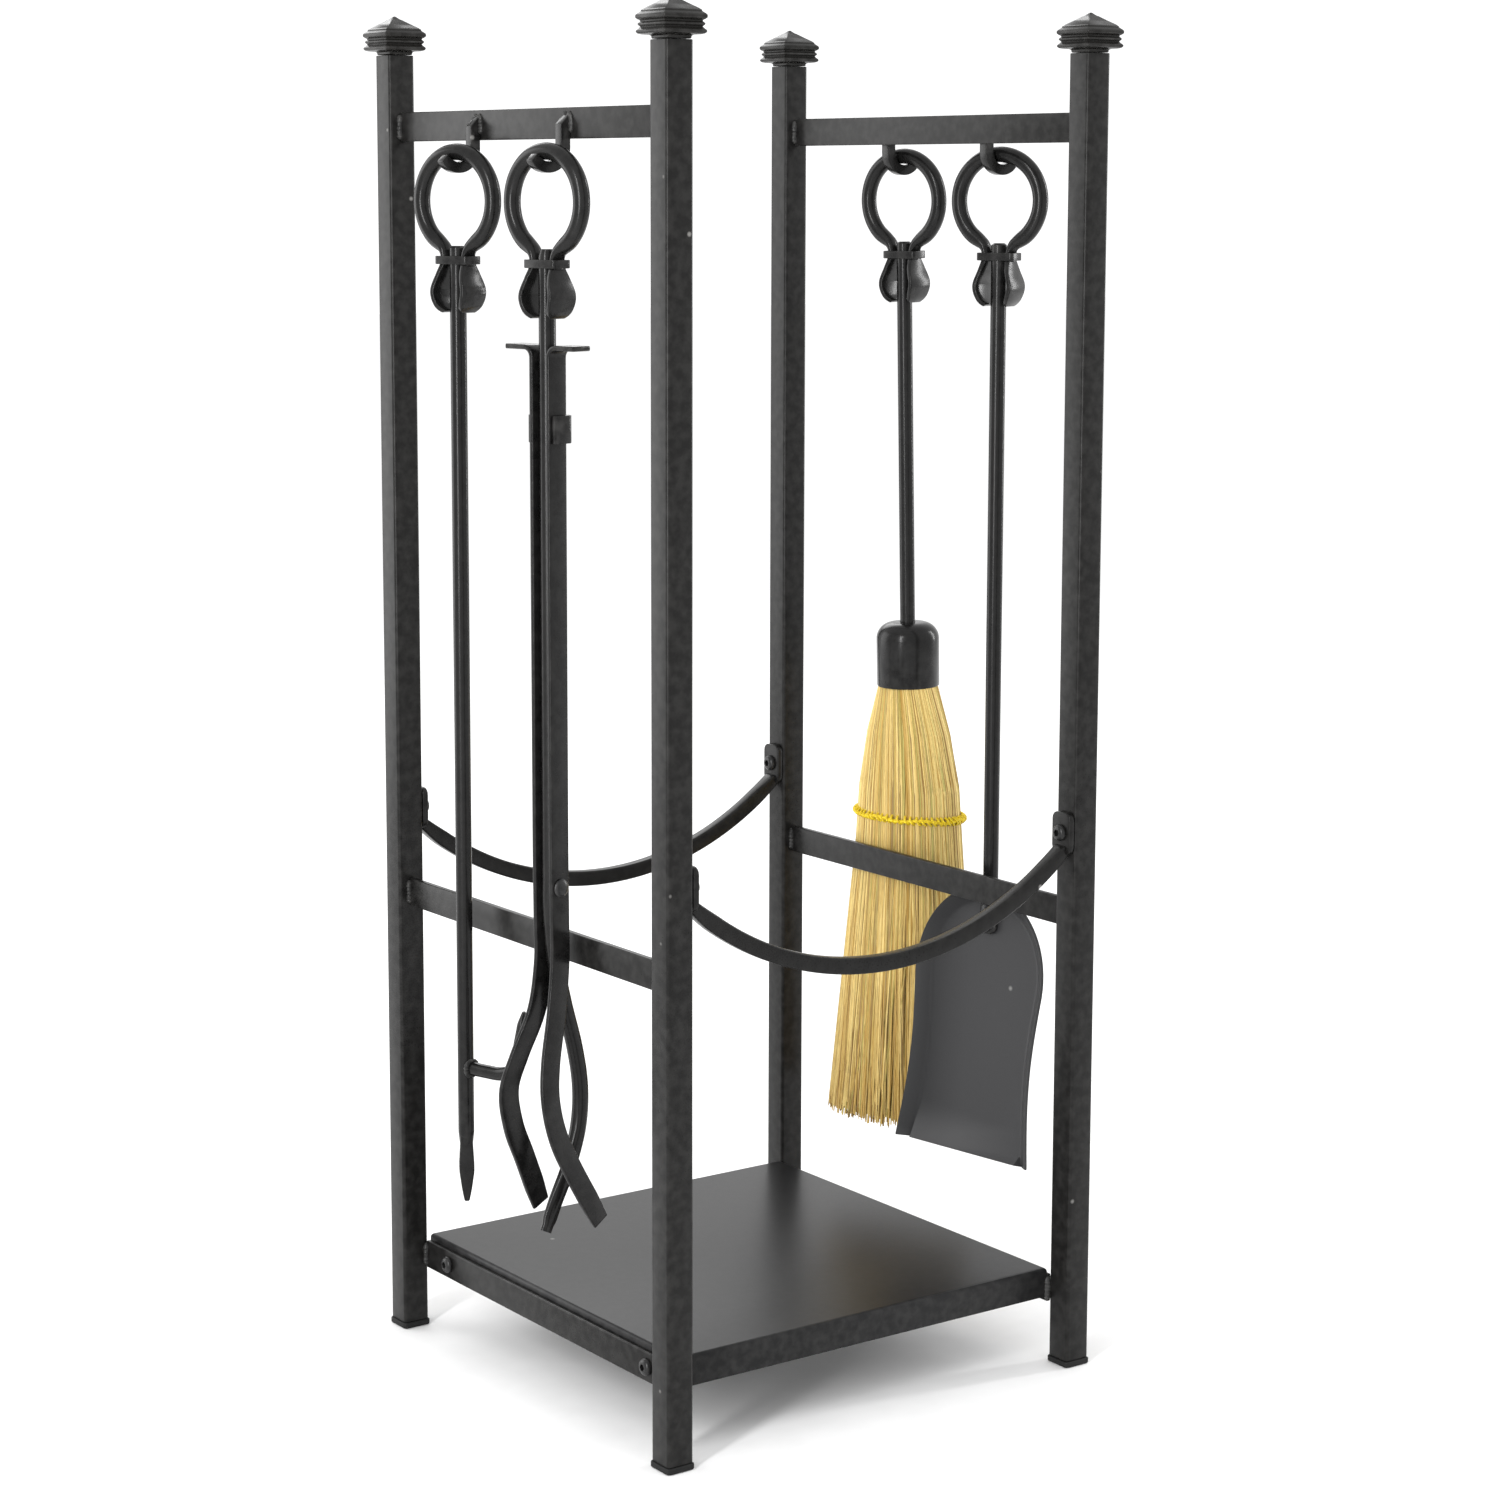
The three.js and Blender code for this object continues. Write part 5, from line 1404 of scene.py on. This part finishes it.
@dataclass
class Shovel(Tool):
    """A dished pan riveted to the flattened end of its shaft."""

    body: str = "shovel"
    turn: float = math.radians(22)
    twist: float = math.radians(-13)
    tilt: float = math.radians(8)
    pan_top: float = 480 * MM
    pan_length: float = 168 * MM
    mouth: float = 97 * MM
    waist: float = 85 * MM
    shoulder: float = 92 * MM
    wall: float = 8.1 * MM
    flare: float = 9.0 * MM
    fold: float = 2.6 * MM
    sheet: float = 1.8 * MM
    tongue_length: float = 26 * MM
    tongue_width: float = 15 * MM
    tongue_thickness: float = 4 * MM
    rivet_drops: tuple[float, float] = (7 * MM, 18 * MM)
    rivet_head: float = 9 * MM
    rivet_height: float = 2 * MM

    def build(self) -> None:
        """Builds the handle, the shaft, the pan and its rivets."""
        self.build_handle()
        head = Matrix.Rotation(self.twist, 4, "Z")
        offset = self.sheet + self.gap + self.tongue_thickness / 2
        lower = Matrix.Translation((offset, 0, -self.pan_top))
        seat = head @ lower @ Matrix.Rotation(self.tilt, 4, "Y")
        shaft = self.make_flattened_shaft(offset)
        shaft.data.transform(head)
        self.give(shaft, "bar", self.finishes.tool_coat, ["shovel_shaft"])
        pan = self.make_pan()
        pan.data.transform(seat)
        # The dish wears the lighter copy of the sheet coat, which paints light on it.
        self.give(pan, "dish", self.finishes.pan_coat_painted_light, ["shovel_pan"])
        grip = self.sheet + self.tongue_thickness + 3 * self.gap
        middle = -(self.sheet + self.tongue_thickness + self.gap) / 2
        for name, drop in zip(("upper", "lower"), self.rivet_drops):
            rivet = dome_rivet(grip, self.rivet_head, self.rivet_height)
            place = Matrix.Translation((middle, 0, -drop)) @ Matrix.Rotation(math.pi / 2, 4, "Y")
            rivet.data.transform(seat @ place)
            node = f"shovel_rivet_{name}"
            self.give(rivet, f"rivet_head_{name}", self.finishes.steel, [node], slot=Slot.BOLT)

    def make_flattened_shaft(self, offset: float) -> Object:
        """A round shaft whose end is hammered flat and leans with the pan."""
        top = -self.collar_drop + self.stub
        half = self.rod / 2
        length, wide, thick = self.tongue_length, self.tongue_width, self.tongue_thickness
        down = Vector((0, 0, -1))
        crown = self.stub_crown * half
        stations = [(Vector((0, 0, top)), down, (crown, crown))]
        for z in np.linspace(top - self.stub_round, -self.pan_top + 14 * MM, 14):
            stations.append((Vector((0, 0, z)), down, (half, half)))
        lean = Vector((-math.sin(self.tilt), 0, -math.cos(self.tilt)))
        behind = Vector((self.sheet + self.gap + thick / 2, 0, 0))
        start = Vector((offset, 0, -self.pan_top)) - behind
        widths = [(0, 0.4), (0.15, 0.75), (0.3, 1.0), (0.85, 1.0), (0.95, 0.8), (1, 0.5)]
        for share in np.linspace(0, 1, 16):
            centre = start + lean * (share * length - 3 * MM)
            flat = blended(widths, share)[0]
            across = max(half, wide / 2 * flat) if share < 0.3 else wide / 2 * flat
            deep = half + (thick / 2 - half) * min(1.0, share / 0.25)
            stations.append((centre, lean, (across, deep)))
        return sweep(stations, Vector((0, 1, 0)), 28)

    def floor_outline(self) -> list[tuple[float, float]]:
        """The floor's edge in Y and Z: mouth, waist, shoulders and a rounded back."""
        mouth, waist, shoulder = self.mouth / 2, self.waist / 2, self.shoulder / 2
        length = self.pan_length
        side = [(mouth + 1.2 * MM, -length - 12 * MM)]
        widest = (shoulder - 0.5 * MM, -0.36 * length)
        back = (0.0, -0.008 * length)
        narrow = waist - 1 * MM
        curves = [
            [(mouth, -length), (narrow, -0.72 * length), (narrow, -0.6 * length), widest],
            [widest, (shoulder + 4 * MM, -0.16 * length), (0.6 * shoulder, -0.015 * length), back],
        ]
        for curve in curves:
            a, b, c, d = (np.array(p) for p in curve)
            for t in np.linspace(0, 1, 22, endpoint=False):
                from_start = a * (1 - t) ** 3 + 3 * b * t * (1 - t) ** 2
                side.append(tuple(from_start + 3 * c * t**2 * (1 - t) + d * t**3))
        return side + [back] + [(-y, z) for y, z in reversed(side)]

    def make_pan(self) -> Object:
        """Folds the edge of a sheet up and out, cuts the mouth straight and gives it thickness."""
        outline = self.floor_outline()
        bpy.ops.object.select_all(action="DESELECT")
        bpy.ops.mesh.primitive_plane_add(size=2 * MM)
        pan = bpy.context.object
        with editing(pan):
            bpy.ops.mesh.select_mode(type="VERT")
            bpy.ops.mesh.select_all(action="SELECT")
            bpy.ops.mesh.merge(type="CENTER")
            bpy.ops.mesh.select_all(action="SELECT")
            place = Vector((0, *outline[0]))
            bpy.ops.transform.translate(value=place)
            for y, z in outline[1:]:
                following = Vector((0, y, z))
                step = following - place
                bpy.ops.mesh.extrude_region_move(TRANSFORM_OT_translate={"value": step})
                place = following
            bpy.ops.mesh.select_all(action="SELECT")
            bpy.ops.mesh.edge_face_add()
            bpy.ops.mesh.normals_make_consistent(inside=False)
        self.raise_wall(pan, outline)
        with editing(pan):
            bpy.ops.mesh.select_all(action="SELECT")
            bpy.ops.mesh.bisect(
                plane_co=(0, 0, -self.pan_length), plane_no=(0, 0, -1),
                clear_outer=True, use_fill=False,
            )
            select_where(pan, lambda middle, along: abs(middle.x) < 0.05 * MM, "EDGE")
            bpy.ops.mesh.region_to_loop()
            bpy.ops.mesh.bevel(offset=self.fold, segments=4, affect="EDGES")
        add_modifier(pan, "SOLIDIFY", thickness=self.sheet, offset=1.0, use_even_offset=True)
        round_edges(pan, 0.5 * MM, 2, math.radians(60))
        return pan

    def raise_wall(self, pan: Object, outline: Sequence[tuple[float, float]]) -> None:
        """Extrudes the floor's rim and spreads it outwards, which makes the flared wall.

        Args:
            pan: the flat floor.
            outline: the floor's edge in Y and Z.
        """
        mesh = pan.data
        points = np.array(outline)
        ahead, behind = np.roll(points, -1, axis=0), np.roll(points, 1, axis=0)
        along = ahead - behind
        outward = np.stack([-along[:, 1], along[:, 0]], axis=1)
        outward /= np.linalg.norm(outward, axis=1)[:, None]
        area = 0.5 * np.sum(points[:, 0] * ahead[:, 1] - ahead[:, 0] * points[:, 1])
        outward *= -1 if area > 0 else 1
        with editing(pan):
            bpy.ops.mesh.select_mode(type="EDGE")
            bpy.ops.mesh.select_all(action="SELECT")
            bpy.ops.mesh.extrude_edges_move(TRANSFORM_OT_translate={"value": (-self.wall, 0, 0)})
        rim = [v for v in mesh.vertices if v.co.x < -0.5 * self.wall]
        for vertex in rim:
            nearest = int(np.argmin(np.sum((points - np.array(vertex.co.yz)) ** 2, axis=1)))
            vertex.co.y += outward[nearest][0] * self.flare
            vertex.co.z += outward[nearest][1] * self.flare


@dataclass
class Brush(Tool):
    """A cap on a shaft, filled with broom straw that is stitched once round."""

    body: str = "brush"
    turn: float = math.radians(14)
    cap_drop: float = 309 * MM
    cap_height: float = 43 * MM
    cap_diameter: float = 42 * MM
    cap_wall: float = 1.5 * MM
    cap_shoulder: float = 11 * MM
    straw_end: float = 654 * MM
    waist_drop: float = 440 * MM
    waist_width: float = 84 * MM
    waist_depth: float = 46 * MM
    fan_width: float = 130 * MM
    fan_depth: float = 60 * MM
    fan_drift: float = 8 * MM
    outer_stalks: int = 1650
    inner_stalks: int = 900
    stalk_tuck: float = 6 * MM
    waver: float = 0.7 * MM
    loose_waver: float = 5.0 * MM
    end_scatter: float = 9 * MM
    short_stalk: float = 26 * MM
    short_share: float = 0.06
    thread: float = 1.15 * MM
    stitches: int = 58
    thread_lift: float = 0.6 * MM
    rng: np.random.Generator = field(default_factory=lambda: np.random.default_rng(20))

    def home(self) -> Matrix:
        """The brush leans: its shaft's two ends give the slope."""
        ring_low, ring_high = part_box("brush_handle_ring")
        low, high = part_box("brush_shaft")
        travel = (high.x - low.x) - self.rod * 0.995
        lean = math.atan2(travel, high.z - low.z)
        middle = (ring_low + ring_high) / 2
        middle.z = ring_high.z - self.rod / 2
        half_drop = (ring_high.z - ring_low.z) / 2 - self.rod / 2
        middle.x -= half_drop * math.tan(lean)
        return (
            Matrix.Translation(middle)
            @ Matrix.Rotation(-lean, 4, "Y")
            @ Matrix.Rotation(self.turn, 4, "Z")
        )

    def build(self) -> None:
        """Builds the handle, the shaft, the cap, the straw and its stitching."""
        self.build_handle()
        coat, straw, thread = self.finishes.tool_coat, self.finishes.straw, self.finishes.thread
        self.give(self.make_shaft(self.cap_drop + 6 * MM), "bar", coat, ["brush_shaft"])
        self.give(self.make_cap(), "ferrule", coat, ["brush_cap"])
        outer = self.make_stalks("outer", self.outer_stalks, (0.80, 1.0), 4, 9)
        self.give(outer, "straw_outer", straw, ["brush_bristles"], slot=Slot.STRAW)
        inner = self.make_stalks("inner", self.inner_stalks, (0.25, 0.84), 3, 7)
        self.give(inner, "straw_inner", straw, slot=Slot.STRAW)
        self.give(self.make_core(), "straw_core", straw, slot=Slot.STRAW)
        self.give(self.make_stitching(), "stitches", thread, ["brush_stitching"], slot=Slot.THREAD)

    def section(self, drop: float) -> tuple[float, float, float]:
        """Half depth, half width and sideways drift of the straw at a depth below the ring."""
        root = self.cap_diameter / 2 - self.cap_wall - self.gap
        start = self.cap_drop + self.cap_height
        depth, width = self.waist_depth / 2, self.waist_width / 2
        if drop <= start:
            return root, root, 0.0
        if drop <= self.waist_drop:
            t = (drop - start) / (self.waist_drop - start)
            ease = t * (2 - t)
            return root + (depth - root) * ease, root + (width - root) * ease, 0.0
        t = (drop - self.waist_drop) / (self.straw_end - self.waist_drop)
        depth += (self.fan_depth - self.waist_depth) / 2 * t
        width += (self.fan_width - self.waist_width) / 2 * t
        return depth, width, self.fan_drift * t

    def make_cap(self) -> Object:
        """A deep-drawn cap: rounded shoulder, straight wall and a turned lower edge."""
        r, top = self.cap_diameter / 2, -self.cap_drop
        neck = self.rod / 2 + self.gap
        bottom = top - self.cap_height
        shoulder = self.cap_shoulder
        profile = [(neck, top - 2.5 * MM), (neck, top), (neck + 1.6 * MM, top)]
        for a in np.linspace(math.radians(84), 0, 12):
            x = r - shoulder + shoulder * math.cos(a)
            profile.append((x, top - shoulder + shoulder * math.sin(a)))
        profile += [(r, bottom + 1 * MM), (r - 0.3 * MM, bottom + 0.2 * MM), (r - 0.8 * MM, bottom)]
        inside = r - self.cap_wall
        profile += [(inside, bottom + 0.6 * MM), (inside, top - shoulder), (neck, top - 5 * MM)]
        closed = profile + [profile[0]]
        return lathe(closed, 56)

    def make_core(self) -> Object:
        """A dense middle, so that no light shows through the straw, tinted dark brown as painted
        shade in the gaps between the stalks.
        """
        down = Vector((0, 0, -1))
        stations = []
        for drop in np.linspace(self.cap_drop + 20 * MM, self.straw_end - 52 * MM, 26):
            depth, width, drift = self.section(drop)
            share = 0.86 if drop < self.waist_drop else 0.80
            stations.append((Vector((0, drift, -drop)), down, (depth * share, width * share)))
        core = sweep(stations, Vector((1, 0, 0)), 28)
        # Kind 0.05 makes the straw finish turn the core dark brown: painted shade between the
        # stalks.
        values = np.tile((0.8, 0.7, 0.05), (len(core.data.vertices), 1))
        self.store_stalks(core.data, values)
        return core

    def make_stalks(
        self, name: str, count: int, band: tuple[float, float], sides: int, steps: int
    ) -> Object:
        """Many stalks from the cap to the ends, each with its own length, waver and tone.

        Args:
            name: the mesh's name.
            count: how many stalks.
            band: nearest and furthest share of the way from the middle to the outside.
            sides: sides of a stalk's section.
            steps: stations along a stalk.

        Returns:
            The straw as one object.
        """
        rng = self.rng
        start = self.cap_drop + self.cap_height - self.stalk_tuck
        corners, faces, values = [], [], []
        for _ in range(count):
            angle = rng.uniform(0, 2 * math.pi)
            reach = math.sqrt(rng.uniform(band[0] ** 2, band[1] ** 2))
            tone = rng.uniform(0, 1)
            kind = rng.uniform(0, 1)
            end = self.straw_end - abs(rng.normal(0, self.end_scatter))
            end -= self.short_stalk if rng.uniform() < self.short_share else 0
            thick = rng.uniform(0.55, 1.05) * MM
            sway = rng.normal(0, 1, 2)
            phase = rng.uniform(0, 2 * math.pi, 2)
            turn = rng.uniform(0, math.pi)
            ring_start = len(corners)
            for step in range(steps):
                share = step / (steps - 1)
                drop = start + (end - start) * share
                depth, width, drift = self.section(drop)
                loose = max(0.0, (drop - self.waist_drop) / (self.straw_end - self.waist_drop))
                bound = 1.0 - 0.035 * math.exp(-(((drop - self.waist_drop) / (9 * MM)) ** 2))
                wander = (self.waver + self.loose_waver * loose**1.2) * (1.9 if kind > 0.8 else 1.0)
                x = reach * math.cos(angle) * depth * bound
                x += wander * 0.7 * sway[0] * math.sin(2.2 * share + phase[0])
                y = reach * math.sin(angle) * width * bound + drift
                y += wander * sway[1] * math.sin(2.6 * share + phase[1])
                most = 1 - 1.5 * MM / depth
                outside = max(1.0, math.hypot(x / depth, (y - drift) / width) / most)
                x, y = x / outside, drift + (y - drift) / outside
                half = thick * (1.0 - 0.45 * share)
                for side in range(sides):
                    a = turn + side * 2 * math.pi / sides
                    corners.append((x + half * math.cos(a), y + half * math.sin(a), -drop))
                    values.append((tone, share, kind))
            for step in range(steps - 1):
                low = ring_start + step * sides
                high = low + sides
                for side in range(sides):
                    following = (side + 1) % sides
                    faces.append((low + side, low + following, high + following, high + side))
            last = ring_start + (steps - 1) * sides
            faces.append(tuple(range(last, last + sides)))
            faces.append(tuple(reversed(range(ring_start, ring_start + sides))))
        mesh = bpy.data.meshes.new(name)
        mesh.from_pydata(corners, [], faces)
        self.store_stalks(mesh, np.array(values))
        obj = bpy.data.objects.new(name, mesh)
        bpy.context.collection.objects.link(obj)
        return obj

    def store_stalks(self, mesh: bpy.types.Mesh, values: np.ndarray) -> None:
        """Stores tone, place along the stalk and kind, which the straw's finish reads."""
        attribute = mesh.attributes.new("stalk", "FLOAT_VECTOR", "POINT")
        attribute.data.foreach_set("vector", np.asarray(values, np.float32).ravel())

    def make_stitching(self) -> Object:
        """A cord drawn tight round the straw, and the stitches that hold it."""
        depth, width, _ = self.section(self.waist_drop)
        grow = self.thread_lift
        drop = self.waist_drop
        route = []
        for k in range(97):
            a = 2 * math.pi * k / 96
            lift = 0.7 * MM * math.sin(7 * a)
            x, y = (depth + grow) * math.cos(a), (width + grow) * math.sin(a)
            route.append(Vector((x, y, -drop + lift)))
        stations = []
        for i, (centre, along) in enumerate(smooth_path(route, 230)):
            half = self.thread * (1 + 0.16 * math.sin(i * 1.25))
            stations.append((centre, along, (half, half)))
        pieces = [sweep(stations, Vector((0, 0, 1)), 8)]
        for k in range(self.stitches):
            a = 2 * math.pi * (k + self.rng.uniform(-0.2, 0.2)) / self.stitches
            out = Vector((math.cos(a) / depth, math.sin(a) / width, 0)).normalized()
            side = Vector((-out.y, out.x, 0))
            place = Vector(((depth + grow) * math.cos(a), (width + grow) * math.sin(a), -drop))
            slope = side * (1.6 * MM)
            ends = [
                place - out * 2 * MM + Vector((0, 0, 2.6 * MM)) - slope,
                place + out * 0.9 * MM + Vector((0, 0, 1.0 * MM)) - slope * 0.4,
                place + out * 0.9 * MM - Vector((0, 0, 1.0 * MM)) + slope * 0.4,
                place - out * 2 * MM - Vector((0, 0, 2.6 * MM)) + slope,
            ]
            path = smooth_path(ends, 8)
            half = 0.75 * self.thread
            pieces.append(sweep([(c, t, (half, half)) for c, t in path], side, 6))
        return join_objects(*pieces)


# ---------------------------------------------------------------- the studio


@dataclass
class Studio:
    """A pale floor, soft white lights and the camera."""

    camera_place: tuple[float, float, float] = (-1.19522, -1.67694, 0.74151)
    yaw: float = math.radians(35.737)
    pitch: float = math.radians(8.1764)
    roll: float = math.radians(-0.1526)
    lens: float = 79.499
    shift: float = -0.06
    floor_size: float = 30.0
    floor_top: float = -0.0004
    sky: float = 1.17

    def build(self) -> None:
        """Builds camera, floor, sky and lights."""
        self.add_camera()
        self.add_floor()
        self.add_sky()
        self.add_light("left_softbox", (-1.6, 2.1, 0.95), (0, 0, 0.42), (1.5, 2.0), 24.0)
        self.add_light("strip_softbox", (-2.2, -1.1, 1.1), (0, 0, 0.42), (0.22, 1.9), 46.0)
        self.add_light("right_strip", (2.5, -0.6, 1.1), (0, 0, 0.42), (0.18, 1.7), 24.0)
        self.add_light("back_softbox", (0.9, 2.6, 2.1), (0, 0, 0.4), (2.0, 1.2), 22.0)

    def add_camera(self) -> None:
        """The camera, set by its place and its three angles."""
        data = bpy.data.cameras.new("camera")
        data.lens = self.lens
        data.sensor_width = 36.0
        data.shift_y = self.shift
        data.clip_end = 50.0
        camera = bpy.data.objects.new("camera", data)
        bpy.context.scene.collection.objects.link(camera)
        forward = Vector((
            math.cos(self.pitch) * math.sin(self.yaw),
            math.cos(self.pitch) * math.cos(self.yaw),
            -math.sin(self.pitch),
        ))
        camera.rotation_mode = "QUATERNION"
        tip = Matrix.Rotation(self.roll, 3, forward).to_quaternion()
        camera.rotation_quaternion = tip @ forward.to_track_quat("-Z", "Y")
        camera.location = self.camera_place
        bpy.context.scene.camera = camera

    def add_floor(self) -> None:
        """A wide pale floor with a faint grain."""
        bpy.ops.object.select_all(action="DESELECT")
        bpy.ops.mesh.primitive_plane_add(size=self.floor_size, location=(0, 0, self.floor_top))
        floor = bpy.context.object
        floor.name = "studio_floor"
        settle(floor)
        material = bpy.data.materials.new("studio_floor")
        material.use_nodes = True
        graph = Graph(material.node_tree)
        shader = graph.tree.nodes["Principled BSDF"]
        place = graph.node("ShaderNodeTexCoord").outputs["Object"]
        grain = graph.ramp(graph.noise(place, 40.0, 3.0), 0.3, 0.7)
        colour = graph.mix(grain, rgb(0.86, 0.86, 0.86), rgb(0.89, 0.89, 0.89))
        graph.feed(shader.inputs["Base Color"], colour)
        shader.inputs["Roughness"].default_value = 0.9
        shader.inputs["Specular IOR Level"].default_value = 0.0
        floor.data.materials.append(material)

    def add_sky(self) -> None:
        """An even white surround."""
        world = bpy.data.worlds.new("surround")
        world.use_nodes = True
        background = world.node_tree.nodes["Background"]
        background.inputs["Color"].default_value = rgb(1.0, 1.0, 1.0)
        background.inputs["Strength"].default_value = self.sky
        bpy.context.scene.world = world
        bpy.context.scene.view_settings.view_transform = "Standard"

    def add_light(
        self,
        name: str,
        place: Sequence[float],
        aim: Sequence[float],
        size: tuple[float, float],
        power: float,
    ) -> None:
        """A rectangular area light that faces a point."""
        data = bpy.data.lights.new(name, "AREA")
        data.shape = "RECTANGLE"
        data.size, data.size_y = size
        data.energy = power
        light = bpy.data.objects.new(name, data)
        light.location = place
        light.rotation_mode = "QUATERNION"
        light.rotation_quaternion = (Vector(aim) - Vector(place)).to_track_quat("-Z", "Y")
        bpy.context.scene.collection.objects.link(light)


def main() -> None:
    """Builds the studio and every sub-assembly, in order."""
    logging.basicConfig(level=logging.INFO, format="%(name)s: %(message)s")
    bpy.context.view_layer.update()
    finishes = Finishes()
    Studio().build()
    Rack(finishes).build()
    Poker(finishes).build()
    Tongs(finishes).build()
    Brush(finishes).build()
    Shovel(finishes).build()


if __name__ == "__main__":
    main()
